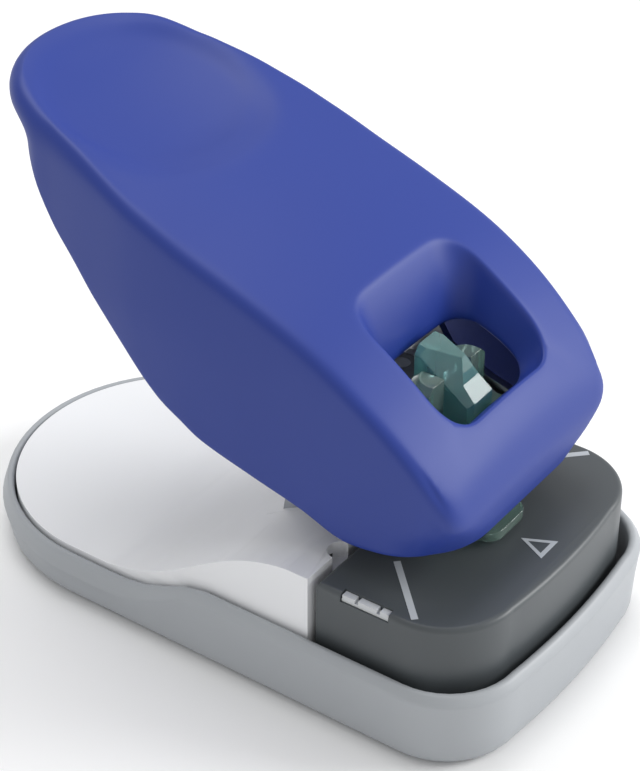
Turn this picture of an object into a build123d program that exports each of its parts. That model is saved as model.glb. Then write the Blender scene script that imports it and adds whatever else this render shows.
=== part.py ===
from build123d import *
import math
import os

# Desktop press binder that joins a few sheets of paper without staples.
# Millimetres. X is across, -Y is the side the paper enters, +Z is up, Z = 0 is the desk.

# ---------------------------------------------------------------- overall sizes
tray_half_width = 31.0
tray_rear_y = 56.6
tray_front_y = -56.4
tray_corner_radius = 14.0
tray_front_rim_z = 14.4
tray_rear_rim_z = 9.2
tray_rear_rim_rise = 0.4
tray_ramp_front_y = -2.5
tray_ramp_rear_y = 14.0
tray_wall = 2.2
tray_floor = 2.0
front_bow = 1.0
foot_height = 0.5

# ---------------------------------------------------------------- paper table and cover
table_z = 25.0
table_wall = 2.0
table_gap = 1.1
table_rear_y = -24.3
table_corner_radius = 12.5
table_edge_round = 1.0
clip_front_y = -37.6
clip_rear_y = -28.8
clip_depth = 1.6
clip_width = 1.5
clip_tabs = [(-31.3, -29.0), (-35.3, -31.9), (-37.5, -35.9)]
notch_x = 19.6
notch_radius = 2.1
cover_gap = 0.4
cover_wall = 2.0
cover_pad_z = 9.8
cover_shoulder_z = 25.6
cover_slope_foot_y = 18.0
cover_slope_top_y = -19.0
cover_front_y = -23.2
cover_opening_gap = 1.0
cover_opening_rear_y = -3.4

# ---------------------------------------------------------------- lever
lever_half_width = 25.5
lever_lean_in = 3.0
lever_lean_low_z = 24.0
lever_lean_high_z = 58.0
lever_wall = 2.0
lever_front_y = -45.8
lever_front_radius = 8.0
lever_front_bow = 0.8
lever_end_radius = 22.0
lever_end_centre_y = 28.0
lever_waist_y = 2.0
lever_nose_z = 41.5
lever_end_top_z = 86.8
lever_end_middle_z = 83.8
lever_end_low_z = 81.0
dish_radius = 17.5
dish_depth = 3.0
dish_centre_y = 28.0
window_half_width = 13.6
window_front_y = -39.5
window_rear_y = -21.3
window_round = 4.0
window_lip_wall = 1.6
window_lip_depth = 4.8
window_front_z = 52.4
window_rear_z = 65.7
rib_places = [10.0, 18.0, 26.0, 34.0]
rib_thickness = 1.4

# ---------------------------------------------------------------- mechanism
pivot_y = -39.0
pivot_z = 37.0
pivot_radius = 1.6
drive_y = -20.5
drive_z = 40.0
drive_radius = 1.5
carriage_travel = 5.6
plate_z = 12.0
plate_thickness = 1.6
plate_half_width = 24.0
plate_front_y = -43.0
plate_rear_y = -4.0
guide_side_gap = 2.0
cheek_thickness = 1.4
arm_side_gap = 0.7
arm_thickness = 1.4
cheek_end_radius = 3.4
post_x = 6.6
post_y = -16.6
post_radius = 1.5
post_top_z = 44.0
beam_bottom_z = 36.0
beam_top_z = 44.0
beam_front_y = -25.4
beam_rear_y = -13.4
beam_half_width = 9.4
spring_wire_radius = 0.3
spring_turns = 6
guide_half_width = 8.0
guide_front_y = -39.4
guide_rear_y = -26.0
guide_top_z = 45.0
guide_horn_top_z = 52.0
guide_horn_front_y = -31.2
guide_wall_gap = 0.35
throat_gap = 1.0
block_half_width = 3.4
block_front_y = -36.0
block_bottom_z = 31.2
block_front_top_z = 48.6
block_rear_top_z = 55.5
block_step_y = -33.6
block_step_rise = 2.3
block_crest_y = -32.2
block_crest_drop = 0.9
tab_rear_y = -22.4
die_half_width = 7.3
die_front_y = -37.4
die_rear_y = -24.6
die_plate_thickness = 1.1
die_well_half_width = 3.8
die_well_front_y = -35.2
die_well_rear_y = -25.6
striker_half_width = 1.0
striker_rear_y = -32.2
striker_top_z = 20.6
die_screw_x = 5.55
die_screw_y = -31.0
blade_tip_z = 26.8
blade_top_z = 38.0
tongue_half_width = 2.5
tongue_front_y = -34.0
tongue_rear_y = -30.2
tongue_wall = 0.7
slit_half_width = 2.7
slit_tip_z = 26.2
slit_y = -28.0
slit_thickness = 0.8
pusher_y = -31.5
pusher_z = 29.0
pusher_pin_radius = 0.5
blade_pin_radius = 0.6
tongue_pin_y = -31.6
blade_pin_z = 35.4

# ---------------------------------------------------------------- clearances
fit_gap = 0.02
running_gap = 0.05
free_gap = 0.3

# ---------------------------------------------------------------- screws
case_screw_radius = 1.3
case_screw_head_radius = 2.5
case_screw_head_height = 1.6
small_screw_radius = 0.8
small_screw_head_radius = 1.5
post_wall = 2.6
lever_screw_radius = 1.1
lever_screw_head_radius = 2.1
lever_screw_head_height = 1.4
carriage_screw_radius = 0.7
carriage_screw_head_radius = 1.4
carriage_screw_head_height = 0.9
driver_slot = 0.6
case_screw_front = [(-20.0, -38.0), (20.0, -38.0)]
case_screw_middle = [(-20.0, -9.0), (20.0, -9.0)]
case_screw_rear = [(-18.0, 25.0), (18.0, 25.0)]
foot_places = [(-19.0, -47.0), (19.0, -47.0), (-14.0, 43.0), (14.0, 43.0)]
foot_radius = 4.5
lever_screw_places = [(x, y) for x in (-8.0, 8.0) for y in (-5.5, 5.5)]
guide_screw_places = [(-36.4, 32.0), (-29.6, 32.0)]
carriage_screw_places = [(-1.9, -23.9), (1.9, -23.9)]

# ---------------------------------------------------------------- sizes that follow from others
cheek_inner = guide_half_width + guide_side_gap
arm_inner = cheek_inner + cheek_thickness + arm_side_gap
cover_opening_half_width = cheek_inner + cheek_thickness + cover_opening_gap
tray_inner_half = tray_half_width - tray_wall
table_half = tray_inner_half - table_gap
table_front_y = tray_front_y + tray_wall + table_gap
block_rear_y = beam_front_y - fit_gap
tab_top_z = beam_top_z + 2.6
die_top_z = table_z

os.makedirs("parts", exist_ok=True)


def box(x0, x1, y0, y1, z0, z1):
    return Pos((x0 + x1) / 2, (y0 + y1) / 2, (z0 + z1) / 2) * Box(x1 - x0, y1 - y0, z1 - z0)


def cyl_z(x, y, z0, z1, radius):
    return Pos(x, y, (z0 + z1) / 2) * Cylinder(radius, z1 - z0)


def cyl_x(x0, x1, y, z, radius):
    return Pos((x0 + x1) / 2, y, z) * Rot(0, 90, 0) * Cylinder(radius, x1 - x0)


def cyl_y(y0, y1, x, z, radius):
    return Pos(x, (y0 + y1) / 2, z) * Rot(90, 0, 0) * Cylinder(radius, y1 - y0)


def side_extrude(face, x0, x1):
    """Extrude a face drawn in (y, z) from x0 to x1."""
    return extrude(Plane.YZ.offset(x0) * face, x1 - x0)


def side_face(points):
    return make_face(Polyline(*points, close=True))


def nose_outline(half_width, front_y, corner, bow):
    """Open outline of a rounded, slightly bowed front, from the left flank round to the right one."""
    flank_end = front_y + corner + bow
    cut = corner * (1 - math.cos(math.pi / 4))
    outline = ThreePointArc((-half_width + corner, front_y + bow), (0, front_y), (half_width - corner, front_y + bow))
    for sign in (-1, 1):
        outline += ThreePointArc(
            (sign * half_width, flank_end),
            (sign * (half_width - cut), front_y + bow + cut),
            (sign * (half_width - corner), front_y + bow),
        )
    return outline


def obround_plan(half_width, front_y, rear_y, corner):
    """Plan outline with a rounded front, straight flanks and a round rear."""
    rear_centre = rear_y - half_width
    flank_end = front_y + corner + front_bow
    outline = nose_outline(half_width, front_y, corner, front_bow)
    for sign in (-1, 1):
        outline += Line((sign * half_width, flank_end), (sign * half_width, rear_centre))
    outline += ThreePointArc((half_width, rear_centre), (0, rear_y), (-half_width, rear_centre))
    return make_face(outline)


def front_plan(half_width, front_y, rear_y, corner):
    """Plan outline with a rounded front and a square rear."""
    flank_end = front_y + corner + front_bow
    rest = Polyline((half_width, flank_end), (half_width, rear_y), (-half_width, rear_y), (-half_width, flank_end))
    return make_face(nose_outline(half_width, front_y, corner, front_bow) + rest)


# ================================================================ tray
tray_plan = obround_plan(tray_half_width, tray_front_y, tray_rear_y, tray_corner_radius)
tray_inner_plan = obround_plan(
    tray_inner_half, tray_front_y + tray_wall, tray_rear_y - tray_wall, tray_corner_radius - tray_wall
)


def rim_ramp():
    """Side outline of everything above the rim: high at the front, an S ramp, low at the rear."""
    ramp = Spline(
        (tray_ramp_front_y, tray_front_rim_z), (tray_ramp_rear_y, tray_rear_rim_z), tangents=[(1, -0.28), (1, 0)]
    )
    front = Line((tray_front_y - 5, tray_front_rim_z), (tray_ramp_front_y, tray_front_rim_z))
    end_z = tray_rear_rim_z + tray_rear_rim_rise
    rear = Line((tray_ramp_rear_y, tray_rear_rim_z), (tray_rear_y + 5, end_z))
    lid = Polyline(
        (tray_rear_y + 5, end_z), (tray_rear_y + 5, 60), (tray_front_y - 5, 60), (tray_front_y - 5, tray_front_rim_z)
    )
    return make_face(front + ramp + rear + lid)


def base_tray():
    tray = extrude(tray_plan, tray_front_rim_z + 1)
    tray = Pos(0, 0, foot_height) * tray
    hollow = Pos(0, 0, foot_height + tray_floor) * extrude(tray_inner_plan, tray_front_rim_z + 2)
    tray -= hollow
    for x, y in case_screw_front + case_screw_middle:
        tray += cyl_z(x, y, foot_height + tray_floor, plate_z, case_screw_radius + post_wall)
    for x, y in case_screw_rear:
        tray += cyl_z(x, y, foot_height + tray_floor, cover_pad_z - cover_wall - 1.5, case_screw_radius + post_wall)
    tray -= side_extrude(rim_ramp(), -tray_half_width - 5, tray_half_width + 5)
    for x, y in case_screw_front + case_screw_middle + case_screw_rear:
        tray -= cyl_z(x, y, 0, plate_z + 1, case_screw_radius + free_gap)
        tray -= cyl_z(x, y, 0, foot_height + case_screw_head_height + 0.4, case_screw_head_radius + free_gap)
    for x, y in foot_places:
        tray -= cyl_z(x, y, 0, foot_height + 0.8, foot_radius + fit_gap)
    return tray


def foot_pads():
    return [cyl_z(x, y, 0, foot_height + 0.8, foot_radius) for x, y in foot_places]


def base_screws():
    screws = []
    head_z = foot_height + 0.4
    for x, y in case_screw_front + case_screw_middle + case_screw_rear:
        rear = (x, y) in case_screw_rear
        tip_z = cover_pad_z - cover_wall if rear else plate_z + plate_thickness + 2.2
        tip_z = tip_z - 0.3 if rear else tip_z
        screw = cyl_z(x, y, head_z, head_z + case_screw_head_height, case_screw_head_radius)
        screw += cyl_z(x, y, head_z, tip_z, case_screw_radius)
        screw -= box(x - 1.5, x + 1.5, y - 0.3, y + 0.3, head_z - 0.1, head_z + 0.8)
        screw -= box(x - 0.3, x + 0.3, y - 1.5, y + 1.5, head_z - 0.1, head_z + 0.8)
        screws.append(screw)
    return screws


# ================================================================ cover
def cover_profile(drop, y_front, y_rear, bottom_z):
    """Side outline under the top surface, lowered by drop."""
    shoulder = Line((y_front, cover_shoulder_z - drop), (cover_slope_top_y, cover_shoulder_z - drop))
    slope = Spline(
        (cover_slope_top_y, cover_shoulder_z - drop),
        (cover_slope_foot_y, cover_pad_z - drop),
        tangents=[(1, -0.12), (1, -0.1)],
    )
    pad = Line((cover_slope_foot_y, cover_pad_z - drop), (y_rear, cover_pad_z - drop))
    rest = Polyline(
        (y_rear, cover_pad_z - drop), (y_rear, bottom_z), (y_front, bottom_z), (y_front, cover_shoulder_z - drop)
    )
    return make_face(shoulder + slope + pad + rest)


def plate_clearance(y0, y1):
    """Room for the frame plate where a wall crosses over it."""
    half = plate_half_width + free_gap
    return box(-half, half, y0, y1, 0, plate_z + plate_thickness + fit_gap)


def body_cover():
    half = tray_inner_half - cover_gap
    rear = tray_rear_y - tray_wall - cover_gap
    skirt_z = cover_pad_z - cover_wall - 1.4
    plan = obround_plan(half, tray_front_y, rear, tray_corner_radius)
    inner_plan = obround_plan(half - cover_wall, tray_front_y + cover_wall, rear - cover_wall, tray_corner_radius)
    outer = side_extrude(cover_profile(0, cover_front_y, rear, skirt_z), -half - 1, half + 1)
    outer &= extrude(plan, 60)
    inner_face = cover_profile(cover_wall, cover_front_y + cover_wall, rear - cover_wall, skirt_z - 1)
    inner = side_extrude(inner_face, -half - 1, half + 1) & Pos(0, 0, -1) * extrude(inner_plan, 61)
    cover = outer - inner
    for x, y in case_screw_middle:
        top_z = cover_pad_z + 4.0
        cover += cyl_z(x, y, plate_z + plate_thickness, top_z, case_screw_radius + post_wall)
    for x, y in case_screw_rear:
        low = cover_pad_z - cover_wall - 1.5
        cover += cyl_z(x, y, low, cover_pad_z - cover_wall + 0.1, case_screw_radius + post_wall)
    cover -= box(
        -cover_opening_half_width, cover_opening_half_width, cover_front_y - 1, cover_opening_rear_y, 0, 60
    )
    cover -= plate_clearance(cover_front_y - 1, cover_front_y + cover_wall + 1)
    for sign in (-1, 1):
        cover -= cyl_z(sign * notch_x, cover_front_y, cover_shoulder_z - 3, 60, notch_radius)
    for x, y in case_screw_middle:
        cover -= cyl_z(x, y, 0, plate_z + plate_thickness + 2.6, case_screw_radius + fit_gap)
    for x, y in case_screw_rear:
        cover -= cyl_z(x, y, 0, cover_pad_z - cover_wall, case_screw_radius + fit_gap)
    return cover


# ================================================================ paper table
def paper_table():
    low_z = tray_front_rim_z - 6
    plan = front_plan(table_half, table_front_y, table_rear_y, table_corner_radius)
    inner = front_plan(
        table_half - table_wall, table_front_y + table_wall, table_rear_y - table_wall, table_corner_radius - table_wall
    )
    table = Pos(0, 0, low_z) * extrude(plan, table_z - low_z)
    top_edges = table.edges().filter_by_position(Axis.Z, table_z - 0.01, table_z + 0.01)
    table = fillet(top_edges, table_edge_round)
    table -= Pos(0, 0, low_z - 1) * extrude(inner, table_z - table_wall - low_z + 1)
    table -= plate_clearance(table_rear_y - table_wall - 1, table_rear_y + 1)
    for x, y in case_screw_front:
        table += cyl_z(x, y, plate_z + plate_thickness, table_z - table_wall, case_screw_radius + post_wall)
    for x, y in case_screw_front:
        table -= cyl_z(x, y, 0, plate_z + plate_thickness + 2.6, case_screw_radius + fit_gap)
    table -= box(
        -die_half_width - 0.2, die_half_width + 0.2, die_front_y - 0.2, table_rear_y + 1, low_z - 1, table_z + 1
    )
    for sign in (-1, 1):
        edge = sign * table_half
        inside = sign * (table_half - clip_width)
        low, high = sorted((edge + sign, inside))
        table -= box(low, high, clip_front_y, clip_rear_y, table_z - clip_depth, table_z + 1)
    return table


def table_clips():
    clips = []
    for sign in (-1, 1):
        low, high = sorted((sign * (table_half - 0.3), sign * (table_half - clip_width + fit_gap)))
        base_z = table_z - clip_depth + fit_gap
        clip = box(low, high, clip_front_y + 0.1, clip_rear_y - 0.1, base_z, base_z + 0.5)
        for y0, y1 in clip_tabs:
            clip += box(low, high, y0, y1, base_z, table_z - 0.35)
        clips.append(clip)
    return clips


# ================================================================ steel frame
def cheek(x0, x1, end_radius):
    """C-shaped side plate: it rises behind the paper and reaches forward to the pivot."""
    top = pivot_z + 6.6
    points = [
        (-22.6, plate_z + 0.5),
        (-22.6, 26.8),
        (-24.6, 28.6),
        (-33.0, 28.6),
        (pivot_y - end_radius, pivot_z - end_radius * 0.4),
        (pivot_y - end_radius, pivot_z + end_radius * 0.4),
        (pivot_y - end_radius * 0.4, pivot_z + end_radius),
        (-34.0, pivot_z + end_radius),
        (-27.0, top),
        (-15.0, top),
        (-8.0, 32.0),
        (-5.2, 16.0),
        (-5.2, plate_z + 0.5),
    ]
    plate = side_extrude(side_face(points), x0, x1)
    plate -= cyl_x(x0 - 1, x1 + 1, pivot_y, pivot_z, pivot_radius + fit_gap)
    slot_radius = drive_radius + free_gap
    plate -= cyl_x(x0 - 1, x1 + 1, drive_y, drive_z, slot_radius)
    plate -= cyl_x(x0 - 1, x1 + 1, drive_y, drive_z - carriage_travel, slot_radius)
    plate -= box(
        x0 - 1, x1 + 1, drive_y - slot_radius, drive_y + slot_radius, drive_z - carriage_travel, drive_z
    )
    for y, z in guide_screw_places:
        plate -= cyl_x(x0 - 1, x1 + 1, y, z, small_screw_radius + fit_gap)
    return plate


def chassis():
    frame = box(
        -plate_half_width, plate_half_width, plate_front_y, plate_rear_y, plate_z, plate_z + plate_thickness
    )
    for sign in (-1, 1):
        low, high = sorted((sign * cheek_inner, sign * (cheek_inner + cheek_thickness)))
        frame += cheek(low, high, cheek_end_radius)
    for x, y in case_screw_front + case_screw_middle:
        frame -= cyl_z(x, y, 0, 20, case_screw_radius + fit_gap)
    for sign in (-1, 1):
        frame -= cyl_z(sign * post_x, post_y, 0, 20, post_radius + fit_gap)
        frame -= cyl_z(sign * die_screw_x, die_screw_y, 0, 20, small_screw_radius + fit_gap)
    frame -= box(-die_well_half_width, die_well_half_width, die_well_front_y, die_well_rear_y, 0, 20)
    return frame


def guide_posts():
    posts = []
    for sign in (-1, 1):
        post = cyl_z(sign * post_x, post_y, plate_z, post_top_z, post_radius)
        post += cyl_z(sign * post_x, post_y, table_z - 0.6, table_z + 0.4, 2.6)
        post += cyl_z(sign * post_x, post_y, plate_z - 1.0, plate_z, 2.6)
        posts.append(post)
    return posts


def return_springs():
    coils = []
    mean_radius = post_radius + 0.3 + spring_wire_radius
    low_z = table_z + 0.4 + spring_wire_radius + 0.02
    high_z = beam_bottom_z - spring_wire_radius - 0.02
    height = high_z - low_z
    for sign in (-1, 1):
        path = Helix(pitch=height / spring_turns, height=height, radius=mean_radius)
        section = Plane(origin=path @ 0, z_dir=path % 0) * Circle(spring_wire_radius)
        coils.append(Pos(sign * post_x, post_y, low_z) * sweep(section, path=path, is_frenet=True))
    return coils


def pivot_pins():
    pins = []
    for sign in (-1, 1):
        inner = sign * (cheek_inner - 1.0)
        outer = sign * (arm_inner + arm_thickness + 0.3)
        low, high = sorted((inner, outer))
        pin = cyl_x(low, high, pivot_y, pivot_z, pivot_radius)
        low, high = sorted((outer, outer + sign * 0.9))
        pin += cyl_x(low, high, pivot_y, pivot_z, 2.7)
        pins.append(pin)
    return pins


def ring(x0, x1, y, z, bore, outer):
    """Open retaining ring on a shaft along X, its mouth facing forward."""
    shape = cyl_x(x0, x1, y, z, outer) - cyl_x(x0 - 1, x1 + 1, y, z, bore)
    return shape - box(x0 - 1, x1 + 1, y - outer - 1, y, z - bore * 0.7, z + bore * 0.7)


def pivot_rings():
    rings = []
    for sign in (-1, 1):
        low, high = sorted((sign * (cheek_inner - 0.1), sign * (cheek_inner - 0.8)))
        rings.append(ring(low, high, pivot_y, pivot_z, pivot_radius + fit_gap, 2.4))
    return rings


# ================================================================ die
def die_block():
    low = plate_z + plate_thickness
    high = die_top_z - die_plate_thickness
    block = box(-die_half_width, die_half_width, die_front_y, die_rear_y, low, high)
    block -= box(-die_well_half_width, die_well_half_width, die_well_front_y, die_well_rear_y, 0, 60)
    block += box(
        -striker_half_width, striker_half_width, die_well_front_y - 0.1, striker_rear_y, low, striker_top_z
    )
    lip_z = striker_top_z + 1.0
    block += box(-striker_half_width, striker_half_width, striker_rear_y - 0.8, striker_rear_y, low, lip_z)
    for sign in (-1, 1):
        block -= cyl_z(sign * die_screw_x, die_screw_y, 0, 60, small_screw_radius + fit_gap)
    return block


def die_plate():
    low = table_z - die_plate_thickness
    plate = box(-die_half_width, die_half_width, die_front_y, die_rear_y, low, table_z)
    plate -= box(
        -tongue_half_width - free_gap, tongue_half_width + free_gap,
        tongue_front_y - free_gap, tongue_rear_y + 0.65, 0, 60,
    )
    plate -= box(
        -slit_half_width - free_gap, slit_half_width + free_gap,
        slit_y - slit_thickness / 2 - free_gap, slit_y + slit_thickness / 2 + free_gap, 0, 60,
    )
    for sign in (-1, 1):
        plate -= cyl_z(sign * die_screw_x, die_screw_y, 0, 60, small_screw_radius + fit_gap)
        cone = Pos(sign * die_screw_x, die_screw_y, table_z - 0.35) * Cone(small_screw_radius + fit_gap, 1.55, 0.72)
        plate -= cone
    return plate


def die_screws():
    screws = []
    for sign in (-1, 1):
        x = sign * die_screw_x
        screw = cyl_z(x, die_screw_y, plate_z, table_z - 0.1, small_screw_radius)
        screw += Pos(x, die_screw_y, table_z - 0.4) * Cone(small_screw_radius, 1.42, 0.6)
        screw -= box(x - 1.1, x + 1.1, die_screw_y - 0.2, die_screw_y + 0.2, table_z - 0.45, table_z + 1)
        screws.append(screw)
    return screws


# ================================================================ clear guide
def guide_block():
    low = table_z + throat_gap
    width = 2 * guide_half_width
    depth = guide_rear_y - guide_front_y
    plan = Pos(0, (guide_front_y + guide_rear_y) / 2) * RectangleRounded(width, depth, 4.0)
    block = Pos(0, 0, low) * extrude(plan, guide_top_z - low)
    top_edges = block.edges().filter_by_position(Axis.Z, guide_top_z - 0.01, guide_top_z + 0.01)
    block = chamfer(top_edges, 1.2)
    horns = Pos(0, 0, low) * extrude(plan, guide_horn_top_z - low)
    horns = chamfer(horns.edges().filter_by_position(Axis.Z, guide_horn_top_z - 0.01, guide_horn_top_z + 0.01), 1.2)
    block += horns & box(
        -guide_half_width, guide_half_width, guide_horn_front_y, guide_rear_y, low, guide_horn_top_z
    )
    foot = Pos(0, (guide_front_y - 2.9 + guide_rear_y) / 2) * RectangleRounded(10.4, depth + 2.9, 2.4)
    block += Pos(0, 0, low) * extrude(foot, 1.6)
    channel = block_half_width + guide_wall_gap
    block -= box(-channel, channel, block_front_y - guide_wall_gap, guide_rear_y + 1, 0, 60)
    for sign in (-1, 1):
        low_x, high_x = sorted((sign * (guide_half_width - 0.6), sign * cheek_inner))
        lug = box(low_x, high_x, -38.0, -28.4, 29.4, 34.0)
        block += lug
        for y, z in guide_screw_places:
            a, b = sorted((sign * (cheek_inner - 4.0), sign * (cheek_inner + 1)))
            block -= cyl_x(a, b, y, z, small_screw_radius + fit_gap)
    return block


def guide_screws():
    screws = []
    for sign in (-1, 1):
        face = sign * (cheek_inner + cheek_thickness)
        for y, z in guide_screw_places:
            a, b = sorted((face - sign * 4.8, face))
            screw = cyl_x(a, b, y, z, small_screw_radius)
            a, b = sorted((face, face + sign * 0.35))
            screw += cyl_x(a, b, y, z, small_screw_head_radius)
            screws.append(screw)
    return screws


# ================================================================ lever
def lever_top(drop):
    """Points of the top line of the lever in (y, z), lowered by drop."""
    line = [(-42.6, 49.0), (-39.5, 52.4), (-32.0, 58.9), (-21.3, 65.7), (-10.0, 70.2), (4.0, 74.8), (18.0, 79.5)]
    line += [(32.0, 84.3), (42.0, 86.6)]
    return [(y, z - drop) for y, z in line]


def lever_profile(inset, open_below):
    """Side outline of the lever. With open_below the underside is dropped so that it cuts through."""
    nose_y = lever_front_y + inset
    end_y = lever_end_centre_y + lever_end_radius - inset
    end_low = (end_y - 0.8, lever_end_low_z - inset * 0.5)
    end_top = (end_y - 2.2, lever_end_top_z - inset * 1.25)
    top = [(nose_y, lever_nose_z - inset * 0.2)] + lever_top(inset * 1.25) + [end_top]
    crown = Spline(*top)
    end_arc = Spline(end_top, (end_y, lever_end_middle_z - inset), end_low)
    if open_below:
        low = Polyline(
            end_low, (end_y - 0.8, 74), (33.0, 60), (12.0, 34), (4.0, 20), (nose_y, 20), top[0]
        )
        return make_face(crown + end_arc + low)
    under = Line(end_low, (41.0, 79.4))
    heel = ThreePointArc((41.0, 79.4), (35.6, 76.4), (31.6, 71.0))
    handle = Line((31.6, 71.0), (12.5, 46.8))
    knee = ThreePointArc((12.5, 46.8), (8.4, 42.4), (2.5, 39.4))
    skirt = Polyline((2.5, 39.4), (-26.5, 30.3), (-33.0, 31.1), (-43.8, 32.4), top[0])
    return make_face(crown + end_arc + under + heel + handle + knee + skirt)


def lever_plan(inset, lean_in):
    """Plan outline of the lever: rounded nose, straight flanks, narrowing to a round thumb end."""
    half = lever_half_width - inset - lean_in
    radius = lever_end_radius - inset
    corner = lever_front_radius - inset
    front = lever_front_y + inset
    side_y = front + corner + lever_front_bow
    lean = 0.26
    tangent_x = radius * math.cos(lean) - lean_in
    tangent_y = lever_end_centre_y + radius * math.sin(lean)
    outline = nose_outline(half, front, corner, lever_front_bow)
    for sign in (1, -1):
        outline += Line((sign * half, side_y), (sign * half, lever_waist_y))
        outline += Spline(
            (sign * half, lever_waist_y), (sign * tangent_x, tangent_y),
            tangents=[(0, 1), (-sign * math.sin(lean), math.cos(lean))],
        )
    end_y = lever_end_centre_y + radius
    outline += ThreePointArc((tangent_x, tangent_y), (0, end_y), (-tangent_x, tangent_y))
    return make_face(outline)


def lever_solid(inset, open_below):
    profile = side_extrude(lever_profile(inset, open_below), -40, 40)
    low = Pos(0, 0, lever_lean_low_z) * lever_plan(inset, lever_lean_in)
    high = Pos(0, 0, lever_lean_high_z) * lever_plan(inset, 0)
    flanks = loft([low, high]) + extrude(high, 40)
    return profile & flanks


def slope_plane(y, z, rise, run):
    """Work plane on a slope: local X is across, local Y is up the slope, local Z points outwards."""
    size = math.hypot(rise, run)
    return Plane(origin=(0, y, z), x_dir=(1, 0, 0), z_dir=(0, -rise / size, run / size))


window_run = window_rear_y - window_front_y
window_rise = window_rear_z - window_front_z
window_length = math.hypot(window_run, window_rise)
window_plane = slope_plane(
    (window_front_y + window_rear_y) / 2, (window_front_z + window_rear_z) / 2, window_rise, window_run
)
dish_plane = slope_plane(dish_centre_y, 83.2, 16.0, 56.0)
dish_ball_radius = (dish_radius**2 + dish_depth**2) / (2 * dish_depth)
web_plane = slope_plane(-3.25, 65.6, 6.0, 18.5)
web_length = 19.4


def dish_ball(extra):
    return dish_plane * Pos(0, 0, dish_ball_radius - dish_depth) * Sphere(dish_ball_radius + extra)


def window_prism(grow, low, high):
    face = RectangleRounded(2 * (window_half_width + grow), window_length + 2 * grow, window_round + grow)
    return window_plane * Pos(0, 0, low) * extrude(face, high - low)


def lever_cover():
    shell = lever_solid(0, False) - dish_ball(0)
    shell -= lever_solid(lever_wall, True) - dish_ball(lever_wall)
    inside = lever_solid(lever_wall / 2, False)
    lip = window_prism(window_lip_wall, -window_lip_depth, 4.0) & inside
    shell += lip
    for y in rib_places:
        depth_line = 58.0 + 0.36 * y
        rib = box(-40, 40, y - rib_thickness / 2, y + rib_thickness / 2, depth_line, 100) & inside
        shell += rib - dish_ball(lever_wall / 2)
    spine = box(-rib_thickness / 2, rib_thickness / 2, rib_places[0], rib_places[-1], 50, 100) & inside
    spine -= Plane.YZ.offset(-5) * extrude(side_face([(0, 0), (60, 0), (60, 81.0), (0, 61.0)]), 10)
    shell += spine - dish_ball(lever_wall / 2)
    bosses = [web_plane * Pos(x, y, 2.8) * Cylinder(lever_screw_radius + 1.5, 5.6) for x, y in lever_screw_places]
    for boss in bosses:
        shell += boss & inside
    shell -= window_prism(0, -40, 20)
    for x, y in lever_screw_places:
        shell -= web_plane * Pos(x, y, 2.0) * Cylinder(lever_screw_radius + fit_gap, 4.4)
    return shell


def arm(x0, x1):
    """Steel side arm of the lever, from the pivot past the drive pin up into the handle."""
    points = [
        (-42.7, 36.0), (-41.9, 39.6), (-39.0, 40.9), (-30.0, 43.2), (-22.0, 46.5), (-14.0, 58.6),
        (-12.4, 62.6), (6.0, 68.6), (6.4, 65.0), (-6.0, 54.0), (-14.0, 40.0), (-18.0, 36.4), (-36.0, 33.4),
        (-41.3, 33.7),
    ]
    plate = side_extrude(side_face(points), x0, x1)
    slot_radius = drive_radius + free_gap
    for shift in (-0.4, 0.4):
        plate -= cyl_x(x0 - 1, x1 + 1, drive_y + shift, drive_z, slot_radius)
    return plate - cyl_x(x0 - 1, x1 + 1, pivot_y, pivot_z, 2.4 + fit_gap)


def lever_frame():
    width = arm_inner + arm_thickness
    frame = web_plane * Pos(0, 0, -arm_thickness / 2) * Box(2 * width, web_length, arm_thickness)
    for sign in (-1, 1):
        low, high = sorted((sign * arm_inner, sign * width))
        frame += arm(low, high)
    for x, y in lever_screw_places:
        frame -= web_plane * Pos(x, y, 0) * Cylinder(lever_screw_radius + fit_gap, 6)
    return frame


def lever_screws():
    screws = []
    for x, y in lever_screw_places:
        shank = Pos(x, y, (4.0 - arm_thickness) / 2) * Cylinder(lever_screw_radius, 4.0 + arm_thickness)
        head_z = -arm_thickness - lever_screw_head_height / 2
        head = Pos(x, y, head_z) * Cylinder(lever_screw_head_radius, lever_screw_head_height)
        slot = Pos(x, y, head_z - driver_slot) * Box(driver_slot, 2.6, 0.8)
        cross = Pos(x, y, head_z - driver_slot) * Box(2.6, driver_slot, 0.8)
        screws.append(web_plane * (shank + head - slot - cross))
    return screws


def pivot_bushes():
    bushes = []
    for sign in (-1, 1):
        a, b = sorted((sign * (arm_inner - 0.4), sign * (arm_inner + arm_thickness)))
        bush = cyl_x(a, b, pivot_y, pivot_z, 2.4)
        a, b = sorted((sign * (arm_inner - 0.4), sign * (arm_inner - fit_gap)))
        bush += cyl_x(a, b, pivot_y, pivot_z, 3.1)
        bushes.append(bush - cyl_x(-20, 20, pivot_y, pivot_z, pivot_radius + running_gap))
    return bushes


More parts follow.
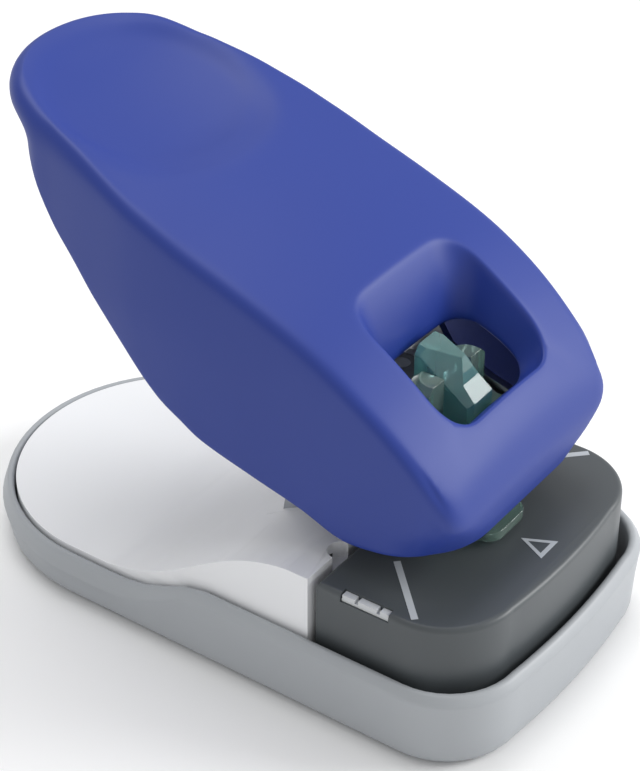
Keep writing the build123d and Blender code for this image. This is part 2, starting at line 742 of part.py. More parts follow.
# ================================================================ punch carriage
def punch_block():
    points = [
        (block_front_y, block_bottom_z),
        (block_front_y, block_front_top_z),
        (block_step_y, block_front_top_z + block_step_rise),
        (block_crest_y, block_rear_top_z - block_crest_drop),
        (block_rear_y, block_rear_top_z),
        (block_rear_y, tab_top_z),
        (tab_rear_y, tab_top_z),
        (tab_rear_y, beam_top_z + fit_gap),
        (block_rear_y, beam_top_z + fit_gap),
        (block_rear_y, block_bottom_z),
    ]
    block = side_extrude(side_face(points), -block_half_width, block_half_width)
    for sign in (-1, 1):
        corner = Pos(sign * block_half_width, block_front_y, 40) * Rot(0, 0, 45) * Box(1.2, 1.2, 60)
        block -= corner
    block -= box(
        -tongue_half_width - fit_gap, tongue_half_width + fit_gap,
        tongue_front_y - fit_gap, tongue_rear_y + 0.3, 0, blade_top_z + fit_gap,
    )
    half = slit_thickness / 2 + fit_gap
    block -= box(
        -slit_half_width - fit_gap, slit_half_width + fit_gap, slit_y - half, slit_y + half, 0, blade_top_z + fit_gap
    )
    block -= cyl_x(-10, 10, tongue_pin_y, blade_pin_z, blade_pin_radius + fit_gap)
    block -= cyl_y(slit_y - 1.4, block_rear_y + 1, 0, blade_pin_z, blade_pin_radius + fit_gap)
    for x, y in carriage_screw_places:
        block -= cyl_z(x, y, 40, 60, carriage_screw_radius + fit_gap)
    return block


def carriage_beam():
    beam = box(-beam_half_width, beam_half_width, beam_front_y, beam_rear_y, beam_bottom_z, beam_top_z)
    beam = chamfer(beam.edges().filter_by(Axis.Z), 0.8)
    beam -= box(-3.6, 3.6, -17.2, beam_rear_y + 1, beam_bottom_z - 1, beam_top_z + 1)
    for sign in (-1, 1):
        beam -= cyl_z(sign * post_x, post_y, 0, 60, post_radius + running_gap)
    beam -= cyl_x(-20, 20, drive_y, drive_z, drive_radius + fit_gap)
    for x, y in carriage_screw_places:
        beam -= cyl_z(x, y, beam_bottom_z + 1.5, 60, carriage_screw_radius + fit_gap)
    return beam


def carriage_screws():
    screws = []
    for x, y in carriage_screw_places:
        screw = cyl_z(x, y, beam_bottom_z + 2.0, tab_top_z, carriage_screw_radius)
        screw += cyl_z(x, y, tab_top_z, tab_top_z + carriage_screw_head_height, carriage_screw_head_radius)
        screws.append(screw - box(x - 0.2, x + 0.2, y - 1.0, y + 1.0, tab_top_z + 0.5, tab_top_z + 2))
    return screws


def tongue_blade():
    blade = box(-tongue_half_width, tongue_half_width, tongue_front_y, tongue_rear_y, blade_tip_z, blade_top_z)
    inner = tongue_half_width - tongue_wall
    blade -= box(-inner, inner, tongue_front_y + tongue_wall, tongue_rear_y + 1, 0, 60)
    slant = side_face([(tongue_front_y - 1, 0), (tongue_rear_y + 1, 0), (tongue_rear_y + 1, blade_tip_z + 1.3),
                       (tongue_front_y - 1, blade_tip_z - 0.3)])
    blade -= side_extrude(slant, -5, 5)
    blade -= cyl_x(-10, 10, pusher_y, pusher_z, pusher_pin_radius + fit_gap)
    return blade - cyl_x(-10, 10, tongue_pin_y, blade_pin_z, blade_pin_radius + fit_gap)


def slit_blade():
    half = slit_thickness / 2
    blade = box(-slit_half_width, slit_half_width, slit_y - half, slit_y + half, slit_tip_z, blade_top_z)
    blade -= box(-1.6, 1.6, slit_y - 2, slit_y + 2, slit_tip_z + 1.0, slit_tip_z + 4.0)
    for sign in (-1, 1):
        corner = Pos(sign * slit_half_width, slit_y, slit_tip_z) * Rot(0, 45, 0) * Box(1.1, 4, 1.1)
        blade -= corner
    return blade - cyl_y(slit_y - 2, slit_y + 2, 0, blade_pin_z, blade_pin_radius + fit_gap)


def blade_pins():
    across = cyl_x(-block_half_width, block_half_width, tongue_pin_y, blade_pin_z, blade_pin_radius)
    return [across, cyl_y(slit_y - 1.3, block_rear_y, 0, blade_pin_z, blade_pin_radius)]


def drive_pin():
    reach = arm_inner + arm_thickness + 1.5
    return cyl_x(-reach, reach, drive_y, drive_z, drive_radius)


def drive_rings():
    rings = []
    for sign in (-1, 1):
        start = arm_inner + arm_thickness + 0.35
        low, high = sorted((sign * start, sign * (start + 0.6)))
        rings.append(ring(low, high, drive_y, drive_z, drive_radius + fit_gap, 2.6))
    return rings


def pusher_pin():
    return cyl_x(-tongue_half_width, tongue_half_width, pusher_y, pusher_z, pusher_pin_radius)


def pusher_spring():
    front = tongue_front_y + tongue_wall + fit_gap
    return box(-0.9, 0.9, front, front + 0.2, 30.4, blade_top_z)


def tongue_pusher():
    half = tongue_half_width - tongue_wall - free_gap
    pusher = cyl_x(-half, half, pusher_y, pusher_z, 1.0)
    pusher += box(-1.2, 1.2, pusher_y - 0.35, pusher_y + 0.35, pusher_z - 2.7, pusher_z)
    pusher += box(-1.2, 1.2, pusher_y - 1.45, pusher_y, pusher_z - 0.7, pusher_z)
    return pusher - cyl_x(-10, 10, pusher_y, pusher_z, pusher_pin_radius + running_gap)


# ================================================================ parts
makers = [
    base_tray, foot_pads, base_screws, body_cover, paper_table, table_clips, chassis, guide_posts, return_springs,
    pivot_pins, pivot_rings, die_block, die_plate, die_screws, guide_block, guide_screws, lever_cover, lever_frame,
    lever_screws, pivot_bushes, punch_block, carriage_beam, carriage_screws, tongue_blade, slit_blade, blade_pins,
    drive_pin, drive_rings, pusher_pin, pusher_spring, tongue_pusher,
]
for make in makers:
    shape = make()
    if isinstance(shape, list):
        shape = Compound(children=shape)
    export_step(shape, f"parts/{make.__name__}.step")
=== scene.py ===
# %% [markdown]
# # A staple-free stapler, built in Blender around its CAD frame
# The paper clincher has a blue lever, a white body cover, a grey base tray and a dark paper table, with a clear
# punch block between them. The CAD model gives every size and every joint. This lesson gives each piece its
# shape and its finish, one step at a time.

# %% Load the CAD frame
import math

import bmesh
import bpy
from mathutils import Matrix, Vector


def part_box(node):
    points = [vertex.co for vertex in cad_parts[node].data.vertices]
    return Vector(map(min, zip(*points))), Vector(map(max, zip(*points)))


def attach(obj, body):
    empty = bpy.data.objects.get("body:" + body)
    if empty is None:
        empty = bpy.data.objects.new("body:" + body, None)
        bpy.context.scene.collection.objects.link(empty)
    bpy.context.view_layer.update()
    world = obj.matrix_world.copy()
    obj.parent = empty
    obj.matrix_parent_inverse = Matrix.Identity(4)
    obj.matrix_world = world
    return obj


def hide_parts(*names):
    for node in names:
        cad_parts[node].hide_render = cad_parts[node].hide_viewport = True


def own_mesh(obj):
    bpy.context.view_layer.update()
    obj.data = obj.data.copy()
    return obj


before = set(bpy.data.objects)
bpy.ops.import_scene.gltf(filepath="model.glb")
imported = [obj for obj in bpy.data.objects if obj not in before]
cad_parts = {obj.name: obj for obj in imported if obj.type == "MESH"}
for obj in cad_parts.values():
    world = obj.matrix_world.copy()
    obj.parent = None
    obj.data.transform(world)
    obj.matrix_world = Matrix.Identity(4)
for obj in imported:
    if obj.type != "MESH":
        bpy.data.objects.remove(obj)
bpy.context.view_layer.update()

# %% [markdown]
# Sizes are easier to read in millimetres, while Blender works in metres. Two helpers turn lists of points into
# a mesh: one that joins rings of points like the hoops of a barrel, and one for any list of faces. All the big
# mouldings are made this way because their shapes follow measured curves, which code can evaluate row by row.

# %% Mesh helpers
MM = 0.001


def mesh_piece(name, points, faces, smooth=True):
    """An object at the origin from points in millimetres and faces."""
    mesh = bpy.data.meshes.new(name)
    mesh.from_pydata([(x * MM, y * MM, z * MM) for x, y, z in points], [], faces)
    bm = bmesh.new()
    bm.from_mesh(mesh)
    bmesh.ops.remove_doubles(bm, verts=bm.verts, dist=1e-6)
    bmesh.ops.recalc_face_normals(bm, faces=bm.faces)
    bm.to_mesh(mesh)
    bm.free()
    for face in mesh.polygons:
        face.use_smooth = smooth
    piece = bpy.data.objects.new(name, mesh)
    bpy.context.scene.collection.objects.link(piece)
    return piece


def ring_faces(rings, count, start=0):
    """Quads between neighbouring rings of the same number of points."""
    faces = []
    for row in range(rings - 1):
        for i in range(count):
            a = start + row * count + i
            b = start + row * count + (i + 1) % count
            faces.append((a, b, b + count, a + count))
    return faces


print("mesh helpers are ready")

# %% Smooth curves and soft steps
def curve_through(points):
    """A smooth function through (position, value) points that never overshoots them."""
    xs = [p[0] for p in points]
    ys = [p[1] for p in points]
    steps = [(ys[i + 1] - ys[i]) / (xs[i + 1] - xs[i]) for i in range(len(xs) - 1)]
    slopes = [steps[0]]
    for a, b in zip(steps, steps[1:]):
        slopes.append(0.0 if a * b <= 0 else 2 * a * b / (a + b))
    slopes.append(steps[-1])

    def value(x):
        x = min(max(x, xs[0]), xs[-1])
        i = max(k for k in range(len(xs) - 1) if xs[k] <= x or k == 0)
        h = xs[i + 1] - xs[i]
        t = (x - xs[i]) / h
        return ((2 * t**3 - 3 * t**2 + 1) * ys[i] + (t**3 - 2 * t**2 + t) * h * slopes[i]
                + (3 * t**2 - 2 * t**3) * ys[i + 1] + (t**3 - t**2) * h * slopes[i + 1])

    return value


def ease(t):
    """0 to 1 with soft ends."""
    t = min(max(t, 0.0), 1.0)
    return t * t * (3 - 2 * t)


print("half of a soft step is", ease(0.5))

# %% The last steps of a piece
def finish_piece(piece, material, body, *nodes, slot=None):
    """The last steps of every piece: its finish, the body that it rides on and the CAD nodes it stands for."""
    piece.data.materials.clear()
    piece.data.materials.append(material)
    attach(piece, body)
    if nodes:
        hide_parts(*nodes)
    print(piece.name, "rides on", body, "with", len(piece.data.polygons), "faces")


def subdivide(piece, levels=1):
    """A Subdivision Surface modifier with the same level in view and render."""
    modifier = piece.modifiers.new("soft_form", "SUBSURF")
    modifier.levels = modifier.render_levels = levels

# %% [markdown]
# Moulded plastic is never one flat colour: the mould's spark-eroded skin breaks up its shine, and the pigment
# drifts a little. That effect is on every moulding here, so it is one shader node group with named inputs. It
# reads Object coordinates, which stay fixed to the piece in every view.

# %% Helpers for node trees
def new_group(name, inputs, outputs):
    group = bpy.data.node_groups.new(name, "ShaderNodeTree")
    for label, kind, default in inputs:
        socket = group.interface.new_socket(label, in_out="INPUT", socket_type="NodeSocket" + kind)
        socket.default_value = default
    for label, kind in outputs:
        group.interface.new_socket(label, in_out="OUTPUT", socket_type="NodeSocket" + kind)
    return group, group.nodes.new("NodeGroupInput").outputs, group.nodes.new("NodeGroupOutput").inputs


def put(tree, kind, inputs, **settings):
    """A node of that kind. Each input is a plain value or another node's output."""
    node = tree.nodes.new(kind)
    for key, value in settings.items():
        setattr(node, key, value)
    for label, value in inputs.items():
        if isinstance(value, bpy.types.NodeSocket):
            tree.links.new(value, node.inputs[label])
        else:
            node.inputs[label].default_value = value
    return node


def math_of(tree, operation, *values):
    return put(tree, "ShaderNodeMath", dict(enumerate(values)), operation=operation).outputs[0]


def noise_of(tree, place, scale, detail):
    return put(tree, "ShaderNodeTexNoise", {"Vector": place, "Scale": scale, "Detail": detail}).outputs["Fac"]


def mixed(tree, share, first, second):
    return put(tree, "ShaderNodeMix", {"Factor": share, 6: first, 7: second}, data_type="RGBA").outputs[2]


def spread(tree, value, low, high, middle):
    """The value taken from 0..1 to low..high, added to the middle."""
    moved = put(tree, "ShaderNodeMapRange", {"Value": value, "To Min": low, "To Max": high}).outputs["Result"]
    return math_of(tree, "ADD", moved, middle)


def object_place(tree):
    return put(tree, "ShaderNodeTexCoord", {}).outputs["Object"]


print("helpers for node trees are ready")

# %% Node group for a moulded skin
skin, given, result = new_group(
    "moulded_skin",
    [("Color", "Color", (0.5, 0.5, 0.5, 1)), ("Drift Color", "Color", (0.4, 0.4, 0.4, 1)), ("Drift", "Float", 0.3),
     ("Roughness", "Float", 0.4), ("Grain Size", "Float", 0.25), ("Grain Depth", "Float", 0.05)],
    [("Color", "Color"), ("Roughness", "Float"), ("Normal", "Vector")])
MM_PER_METRE = 1000.0
cloud = noise_of(skin, object_place(skin), 28.0, 3.0)
grain = noise_of(skin, object_place(skin), math_of(skin, "DIVIDE", MM_PER_METRE, given["Grain Size"]), 2.0)
bump = put(skin, "ShaderNodeBump", {"Distance": 0.00005, "Strength": given["Grain Depth"], "Height": grain})
share = math_of(skin, "MULTIPLY", cloud, given["Drift"])
skin.links.new(mixed(skin, share, given["Color"], given["Drift Color"]), result["Color"])
skin.links.new(spread(skin, cloud, -0.05, 0.05, given["Roughness"]), result["Roughness"])
skin.links.new(bump.outputs["Normal"], result["Normal"])
print("group", skin.name, "with", len(skin.nodes), "nodes")

# %% [markdown]
# Every moulding has its own pigment, drift and grain, so one function places the skin group in a new material
# with that piece's values. A material made by hand for each would drift apart as values are tuned. The colours
# are given as 0 to 255 values, as a paint chart gives them, and turned into the linear values that the renderer
# adds up.

# %% Materials of the mouldings
def srgb(red, green, blue):
    """A colour from 0 to 255 values, as the linear values Blender's sockets take."""
    def linear(v):
        v /= 255
        return v / 12.92 if v <= 0.04045 else ((v + 0.055) / 1.055) ** 2.4
    return (linear(red), linear(green), linear(blue), 1.0)


def finish_of(name, group, values, **plain):
    """A material with the group before its shader. Plain values are set on the shader's own sockets."""
    material = bpy.data.materials.new(name)
    material.use_nodes = True
    tree = material.node_tree
    surface = tree.nodes["Principled BSDF"]
    node = tree.nodes.new("ShaderNodeGroup")
    node.node_tree = group
    for label, value in values.items():
        node.inputs[label].default_value = value
    for output in node.outputs:
        tree.links.new(output, surface.inputs["Base Color" if output.name == "Color" else output.name])
    for label, value in plain.items():
        surface.inputs[label.replace("_", " ")].default_value = value
    return material


def moulded(name, color, drift_color, drift=0.3, roughness=0.4, grain_size=0.25, grain_depth=0.05):
    return finish_of(name, skin, {
        "Color": color, "Drift Color": drift_color, "Drift": drift, "Roughness": roughness,
        "Grain Size": grain_size, "Grain Depth": grain_depth})


lever_blue = moulded("lever_blue", srgb(28, 55, 143), srgb(22, 47, 130), 0.5, 0.5, 0.3, 0.08)
tray_grey = moulded("tray_grey", srgb(168, 172, 176), srgb(158, 162, 167), 0.5, 0.45, 0.3, 0.08)
cover_white = moulded("cover_white", srgb(240, 241, 243), srgb(232, 234, 237), 0.5, 0.35, 0.3, 0.05)
table_dark = moulded("table_dark", srgb(78, 83, 86), srgb(70, 75, 78), 0.5, 0.4, 0.35, 0.1)
clip_white = moulded("clip_white", srgb(205, 208, 210), srgb(192, 195, 199), 0.4, 0.4)
foot_rubber = moulded("foot_rubber", srgb(52, 53, 55), srgb(38, 39, 41), 0.6, 0.8, 0.5, 0.3)
bush_nylon = moulded("bush_nylon", srgb(228, 226, 215), srgb(214, 211, 198), 0.5, 0.45)
mark_paint = moulded("mark_paint", srgb(190, 195, 199), srgb(178, 184, 189), 0.6, 0.5, 0.2, 0.2)
print("moulded materials:", [m.name for m in bpy.data.materials])

# %% [markdown]
# The camera stands to the left of the nose, a little above the lever, with a long lens as in a product shot.
# The floor is a pale sheet. One soft lamp on the nose's side makes the front faces brighter than the left
# flank, and a wide one overhead lights the upper faces; a bright world fills the shadows.

# %% Camera, floor and light
camera_data = bpy.data.cameras.new("camera")
camera_data.lens = 99.67
camera_data.sensor_width = 36
camera = bpy.data.objects.new("camera", camera_data)
camera.location = (-0.2341, -0.1725, 0.2316)
look_at = Vector((0.02273, 0.01094, 0.020))
camera.rotation_euler = (look_at - camera.location).to_track_quat("-Z", "Y").to_euler()
bpy.context.scene.collection.objects.link(camera)
bpy.context.scene.camera = camera

FAR = 1500
floor = mesh_piece("floor", [(-FAR, -FAR, 0), (FAR, -FAR, 0), (FAR, FAR, 0), (-FAR, FAR, 0)], [(0, 1, 2, 3)])
floor_white = moulded("floor_white", srgb(250, 250, 250), srgb(246, 246, 247), 0.3, 0.6)
floor.data.materials.append(floor_white)


def soft_light(name, place, size, power):
    data = bpy.data.lights.new(name, "AREA")
    data.shape = "DISK"
    data.size = size
    data.energy = power
    lamp = bpy.data.objects.new(name, data)
    lamp.location = place
    lamp.rotation_euler = (Vector((0, 0, 0.03)) - lamp.location).to_track_quat("-Z", "Y").to_euler()
    bpy.context.scene.collection.objects.link(lamp)


soft_light("key_light", (0.55, -0.65, 0.42), 0.5, 5.6)
soft_light("top_light", (0.15, 0.25, 0.9), 0.7, 3.6)
world = bpy.data.worlds.new("studio")
world.use_nodes = True
world.node_tree.nodes["Background"].inputs["Color"].default_value = (1, 1, 1, 1)
world.node_tree.nodes["Background"].inputs["Strength"].default_value = 0.62
bpy.context.scene.world = world
bpy.context.scene.view_settings.view_transform = "Standard"
print("camera at", tuple(round(v, 3) for v in camera.location), "with a lens of", camera_data.lens)

# %% [markdown]
# The lever is the biggest moulding: a thin blue shell, like an upturned boat, with a window near its nose and a
# shallow thumb dish at its free end. It could be carved from a block with booleans, which leaves messy edges.
# Here a grid of points is laid over its plan outline, the height of each point comes from measured curves, and
# walls are dropped from the edge of the grid. A Solidify modifier then gives the skin its two-millimetre wall.

# %% The lever's measured curves
LEVER_HALF, LEVER_FRONT, LEVER_CORNER = 25.5, -46.0, 3.4
END_RADIUS, END_CENTRE = 21.4, 28.8
crest = curve_through([(-46.5, 43.5), (-42.6, 49), (-39.5, 52.4), (-32, 58.9), (-21.3, 65.7), (-10, 70.2),
                       (4, 74.8), (18, 79.7), (26.6, 83.0), (35, 85.5), (42, 87.2), (50, 87.9)])
crown = curve_through([(-46, 2.6), (-40, 2.3), (-30, 2.0), (-21, 1.9), (-12, 1.7), (0, 1.4), (9, 1.1), (18, 1.0),
                       (34, 1.2), (50, 1.2)])
under = curve_through([(-46, 32.6), (-43.8, 32.4), (-33, 31.1), (-26.5, 30.3), (-18, 33.2), (-8.4, 35.8),
                       (1.3, 38.8), (4.2, 40.7), (8.2, 43.0), (11.1, 45.7), (14.8, 49.9), (20.5, 56.1),
                       (26.3, 62.4), (31.1, 67.0), (33.3, 70.4), (35.7, 74.8), (38.5, 78.4), (42, 80.2),
                       (50, 81.0)])
side_width = curve_through([(-60, 25.5), (2, 25.5), (12, 25.0), (22, 23.4), (33.7, 20.83), (60, 12)])
nose_inset = curve_through([(32.4, 2.0), (37, 0.55), (41.5, 0.0), (45.5, 1.1), (49, 3.2), (52, 5.8)])


def top_height(x, y):
    """Height of the lever's upper face: the crest, less the crown's fall to the sides, less the thumb dish."""
    z = crest(y) - crown(y) * min(abs(x) / LEVER_HALF, 1.0) ** 2
    inner = math.hypot(x / 19.0, (y - 28.8) / 15.5)
    outer = ease((y - 7.5 - x * x / 96) / 7.0)
    bowl = 3.0 * (1 - inner**2) if inner < 1 else 0.0
    ring = 1.3 * outer * (1 - ease((math.hypot(x / 21.5, (y - 27) / 21.5) - 0.72) / 0.28))
    return z - bowl - ring


BLUNT, END_DEPTH = 2.1, 21.0


def blunt(x, y):
    """Turns the lever's round end into a blunter one: each point moves along its own radius."""
    if y <= END_CENTRE:
        return x, y
    turn = math.atan2(abs(x), y - END_CENTRE)
    grow = (math.sin(turn) ** BLUNT + (math.cos(turn) * END_RADIUS / END_DEPTH) ** BLUNT) ** (-1 / BLUNT)
    return x * grow, END_CENTRE + (y - END_CENTRE) * grow


print("the lever is", round(LEVER_FRONT, 1), "to", round(END_CENTRE + END_DEPTH, 1), "mm long")

# %% [markdown]
# The grid's columns run from flank to flank and its rows from nose to thumb end. Straight rows can't end on a
# curved outline, so each row's points are spread to that row's width, and the last rows bend into the round
# end. The columns beside the window stay straight there, so that the window gets clean edges.

# %% Rows and columns of the lever's grid
WELL_HALF, WELL_FRONT, WELL_REAR, WELL_ROUND = 14.6, -40.4, -19.4, 5.5
column_x = [WELL_HALF * i / 9 for i in range(10)] + [16.0, 17.4, 18.8, 20.2, 21.6, 23.0]
side_y = [WELL_FRONT + (WELL_REAR - WELL_FRONT) * i / 13 for i in range(14)]
window_rows = (1, len(side_y))
while side_y[-1] < 31.9:
    side_y.append(side_y[-1] + 1.5)
RIM, NOSE_RIM, TURNS = 2.5, 3.2, 10
columns = [-x for x in reversed(column_x[1:])] + column_x
wide = len(columns)
corner_centre = (LEVER_HALF - LEVER_CORNER, LEVER_FRONT + LEVER_CORNER)


def side_place(y):
    """The grid's edge point at y on the right side, its outline point and the outward direction there."""
    if y < corner_centre[1]:
        turn = math.acos(min(1.0, (corner_centre[1] - y) / (LEVER_CORNER - RIM)))
        outward = (math.sin(turn), -math.cos(turn))
        centre, radius = corner_centre, LEVER_CORNER
    elif y <= 33.0:
        slope = side_width(y + 0.5) - side_width(y - 0.5)
        length = math.hypot(slope, 1)
        outward = (1 / length, -slope / length)
        return (side_width(y) - RIM * outward[0], y), (side_width(y), y + RIM * slope), outward
    else:
        turn = math.asin(min(1.0, (y - END_CENTRE) / (END_RADIUS - RIM)))
        outward = (math.cos(turn), math.sin(turn))
        centre, radius = (0.0, END_CENTRE), END_RADIUS
    inner = tuple(centre[k] + (radius - RIM) * outward[k] for k in (0, 1))
    return inner, tuple(centre[k] + radius * outward[k] for k in (0, 1)), outward


def nose_place(x):
    """The same on the nose, for a place from 0 at the middle to column_x[-1] at the corner."""
    straight = column_x[13]
    if abs(x) <= straight:
        px = x / straight * corner_centre[0] if abs(x) > WELL_HALF else x
        return (px, LEVER_FRONT + NOSE_RIM), (px, LEVER_FRONT), (0.0, -1.0)
    share = (abs(x) - straight) / (column_x[-1] - straight)
    turn = share * math.pi / 4
    outward = (math.copysign(math.sin(turn), x), -math.cos(turn))
    centre = (math.copysign(corner_centre[0], x), corner_centre[1])
    inset = NOSE_RIM + (RIM - NOSE_RIM) * share
    inner = tuple(centre[k] + (LEVER_CORNER - inset) * outward[k] for k in (0, 1))
    return inner, tuple(centre[k] + LEVER_CORNER * outward[k] for k in (0, 1)), outward


def end_place(x):
    """The same on the round end."""
    turn = x / column_x[-1] * math.pi / 4
    outward = (math.sin(turn), math.cos(turn))
    return (tuple((0, END_CENTRE)[k] + (END_RADIUS - RIM) * outward[k] for k in (0, 1)),
            tuple((0, END_CENTRE)[k] + END_RADIUS * outward[k] for k in (0, 1)), outward)


def mirrored(place):
    return tuple((-p[0], p[1]) for p in place)


print("columns at", [round(x, 1) for x in column_x])

# %% The grid of the lever's upper face
grid = [[nose_place(x)[0] for x in columns]]
side_edges = []
for y in side_y:
    half = side_place(y)[0][0]
    narrow = ease((y + 19) / 40)
    row = []
    for x in columns:
        even = x / column_x[-1] * half
        held = x if abs(x) <= WELL_HALF else math.copysign(
            WELL_HALF + (abs(x) - WELL_HALF) / (column_x[-1] - WELL_HALF) * (half - WELL_HALF), x)
        row.append((held + (even - held) * narrow, y))
    grid.append(row)
    side_edges.append(side_place(y))
last_y = side_y[-1]
end_half = (END_RADIUS - RIM) * math.sin(math.pi / 4)
for step in range(1, TURNS + 1):
    share = step / TURNS
    low = last_y + (END_CENTRE + end_half - last_y) * share
    high = last_y + (END_CENTRE + END_RADIUS - RIM - last_y) * share
    place = side_place(low)
    row = []
    for x in columns:
        side = x / column_x[-1]
        exact = end_place(x)[0]
        px = side * place[0][0] * (1 - share**3) + exact[0] * share**3
        py = (high - (high - low) * side**2) * (1 - share**3) + exact[1] * share**3
        row.append((px, py))
    grid.append(row)
    side_edges.append(place)
grid = [[blunt(x, y) for x, y in row] for row in grid]
print("the lever's upper face has", len(grid), "rows of", wide, "points")

# %% [markdown]
# The upper face is the grid lifted to the crest curve. The wall starts with a quarter-round rim and then drops
# to the lower edge, leaning in as it goes, because a moulding needs draft to leave its mould. The nose corners
# grow rounder downwards, and the thumb end tucks under.

# %% The lever's upper face and walls
points, faces = [], []
for row in grid:
    for x, y in row:
        points.append((x, y, top_height(x, y)))


def round_corner(x, y, half, front, radius):
    """The point pulled in onto a corner arc of that radius where it stands outside it."""
    dx, dy = abs(x) - (half - radius), front + radius - y
    if dx <= 0 or dy <= 0 or math.hypot(dx, dy) <= radius:
        return x, y
    shrink = radius / math.hypot(dx, dy)
    return math.copysign(half - radius + dx * shrink, x), front + radius - dy * shrink


def rounded_place(x, y, half, front, rear, radius):
    """The point moved onto a rectangle with round corners if it lies at a corner."""
    cx = half - radius
    cy = front + radius if y < (front + rear) / 2 else rear - radius
    if abs(x) > cx and (y < cy if y < (front + rear) / 2 else y > cy):
        dx, dy = abs(x) - cx, y - cy
        length = math.hypot(dx, dy)
        return math.copysign(cx + radius * dx / length, x), cy + radius * dy / length
    return x, y


first, last = len(column_x) - 1 - 9, len(column_x) - 1 + 9
low_row, high_row = window_rows
loop = ([(low_row, c) for c in range(first, last)] + [(r, last) for r in range(low_row, high_row)]
        + [(high_row, c) for c in range(last, first, -1)] + [(r, first) for r in range(high_row, low_row, -1)])
for r, c in loop:
    x, y = rounded_place(*grid[r][c], WELL_HALF, WELL_FRONT, WELL_REAR, WELL_ROUND)
    points[r * wide + c] = (x, y, top_height(x, y))
for r in range(len(grid) - 1):
    for c in range(wide - 1):
        if low_row <= r < high_row and first <= c < last:
            continue
        a = r * wide + c
        faces.append((a, a + 1, a + wide + 1, a + wide))

print("upper face:", len(points), "points and", len(faces), "faces")

# %% The lever's walls
border = [(0, c, nose_place(columns[c])) for c in range(wide)]
border += [(r + 1, wide - 1, side_edges[r]) for r in range(len(side_edges) - 1)]
border += [(len(grid) - 1, c, end_place(columns[c])) for c in range(wide - 1, -1, -1)]
border += [(r + 1, 0, mirrored(side_edges[r])) for r in range(len(side_edges) - 2, -1, -1)]
border = [(r, c, (blunt(*inner), blunt(*edge), outward)) for r, c, (inner, edge, outward) in border]
wall_rows = []
ROUND_STEPS, WALL_STEPS = 4, 8
for k in range(1, ROUND_STEPS + WALL_STEPS + 2):
    ring = []
    for r, c, (inner, edge, outward) in border:
        top = points[r * wide + c][2]
        bottom = under(edge[1])
        nose = outward[1] ** 2 if outward[1] < 0 else 0.0
        tail = ease((outward[1] - 0.22) / 0.6)
        fall = RIM + 1.7 * ease((edge[1] - 14) / 20)
        waist = 32.4 + (41.5 - 32.4) * (top - 32.4) / (49 - 32.4)
        if k <= ROUND_STEPS:
            turn = math.pi / 2 * k / ROUND_STEPS
            z_side = top - fall * (1 - math.cos(turn))
            z_nose = top - (top - waist) * k / ROUND_STEPS
            inset = RIM * (1 - math.sin(turn))
        else:
            share = min((k - ROUND_STEPS) / WALL_STEPS, 0.965) if k <= ROUND_STEPS + WALL_STEPS else 1.0
            z_side = top - fall - (top - fall - bottom) * share
            z_nose = waist - (waist - bottom) * share
            inset = 0.0
        z = z_side + (z_nose - z_side) * nose
        lean = 3.0 * min(max((58 - z) / 34, 0.0), 1.0)
        wall = inset + lean + tail * 4.2 * ease((83.6 - z) / 5.5)
        front = nose_inset(32.4 + (z - 32.4) * (49 - 32.4) / (top - 32.4))
        depth = wall + (front - wall) * nose
        x, y = edge[0] - outward[0] * depth, edge[1] - outward[1] * depth
        ring.append((*round_corner(x, y, LEVER_HALF - lean, LEVER_FRONT + front, 3.5 + 9 * ease((43 - z) / 11)), z))
    wall_rows.append(ring)
start = len(points)
count = len(border)
for ring in wall_rows:
    points.extend(ring)
top_loop = [r * wide + c for r, c, _ in border]
for i in range(count):
    j = (i + 1) % count
    faces.append((top_loop[i], top_loop[j], start + j, start + i))
faces += ring_faces(len(wall_rows), count, start)
print("walls of", len(wall_rows), "rings of", count, "points")

# %% [markdown]
# The window is a well with a rolled lip: rings of the window's outline step inwards and down, deeper at the
# rear, where the lever is taller. Solidify then turns the open skin into a wall two millimetres thick, measured
# inwards, so the outside keeps its size.

# %% The lever's window well
well_rings = [(0.35, 0.2, 0.45, 0.3, 0.5), (0.7, 0.6, 1.2, 1.1, 1.9), (1.0, 1.1, 2.2, 2.0, 4.0),
              (1.5, 2.4, 3.0, 2.9, 6.5), (1.9, 2.9, 3.5, 3.6, 9.0), (2.3, 3.3, 3.8, 4.1, 11.6),
              (2.5, 3.6, 4.0, 4.4, 13.6)]
start = len(points)
for side_in, front_in, rear_in, front_down, rear_down in well_rings:
    half = WELL_HALF - side_in
    front = WELL_FRONT + front_in
    rear = WELL_REAR - rear_in
    for r, c in loop:
        x, y, z = points[r * wide + c]
        share = (y - WELL_FRONT) / (WELL_REAR - WELL_FRONT)
        down = front_down + (rear_down - front_down) * share
        points.append((x * half / WELL_HALF, front + (rear - front) * share, z - down))
loop_index = [r * wide + c for r, c in loop]
for i in range(len(loop)):
    j = (i + 1) % len(loop)
    faces.append((loop_index[j], loop_index[i], start + i, start + j))
faces += [tuple(reversed(f)) for f in ring_faces(len(well_rings), len(loop), start)]
lever_shell = mesh_piece("lever_shell", points, faces)
wall = lever_shell.modifiers.new("wall", "SOLIDIFY")
wall.thickness = 2.0 * MM
wall.offset = -1
wall.use_even_offset = True
subdivide(lever_shell, 1)
finish_piece(lever_shell, lever_blue, "lever", "lever_cover", slot="lever_plastic")

# %% [markdown]
# A thin shell bends, so inside the lever there are cross ribs, two long ribs and four screw bosses, which the
# steel frame is screwed to. They show from behind and below. Each rib is a strip between the shell's inside and
# a lower line, with closed sides. The bosses are short tubes square to the frame's sloping web.

# %% Ribs and bosses inside the lever
RIB_TOP, RIB_DEEP, RIB_HALF = 1.6, 5.2, 0.7


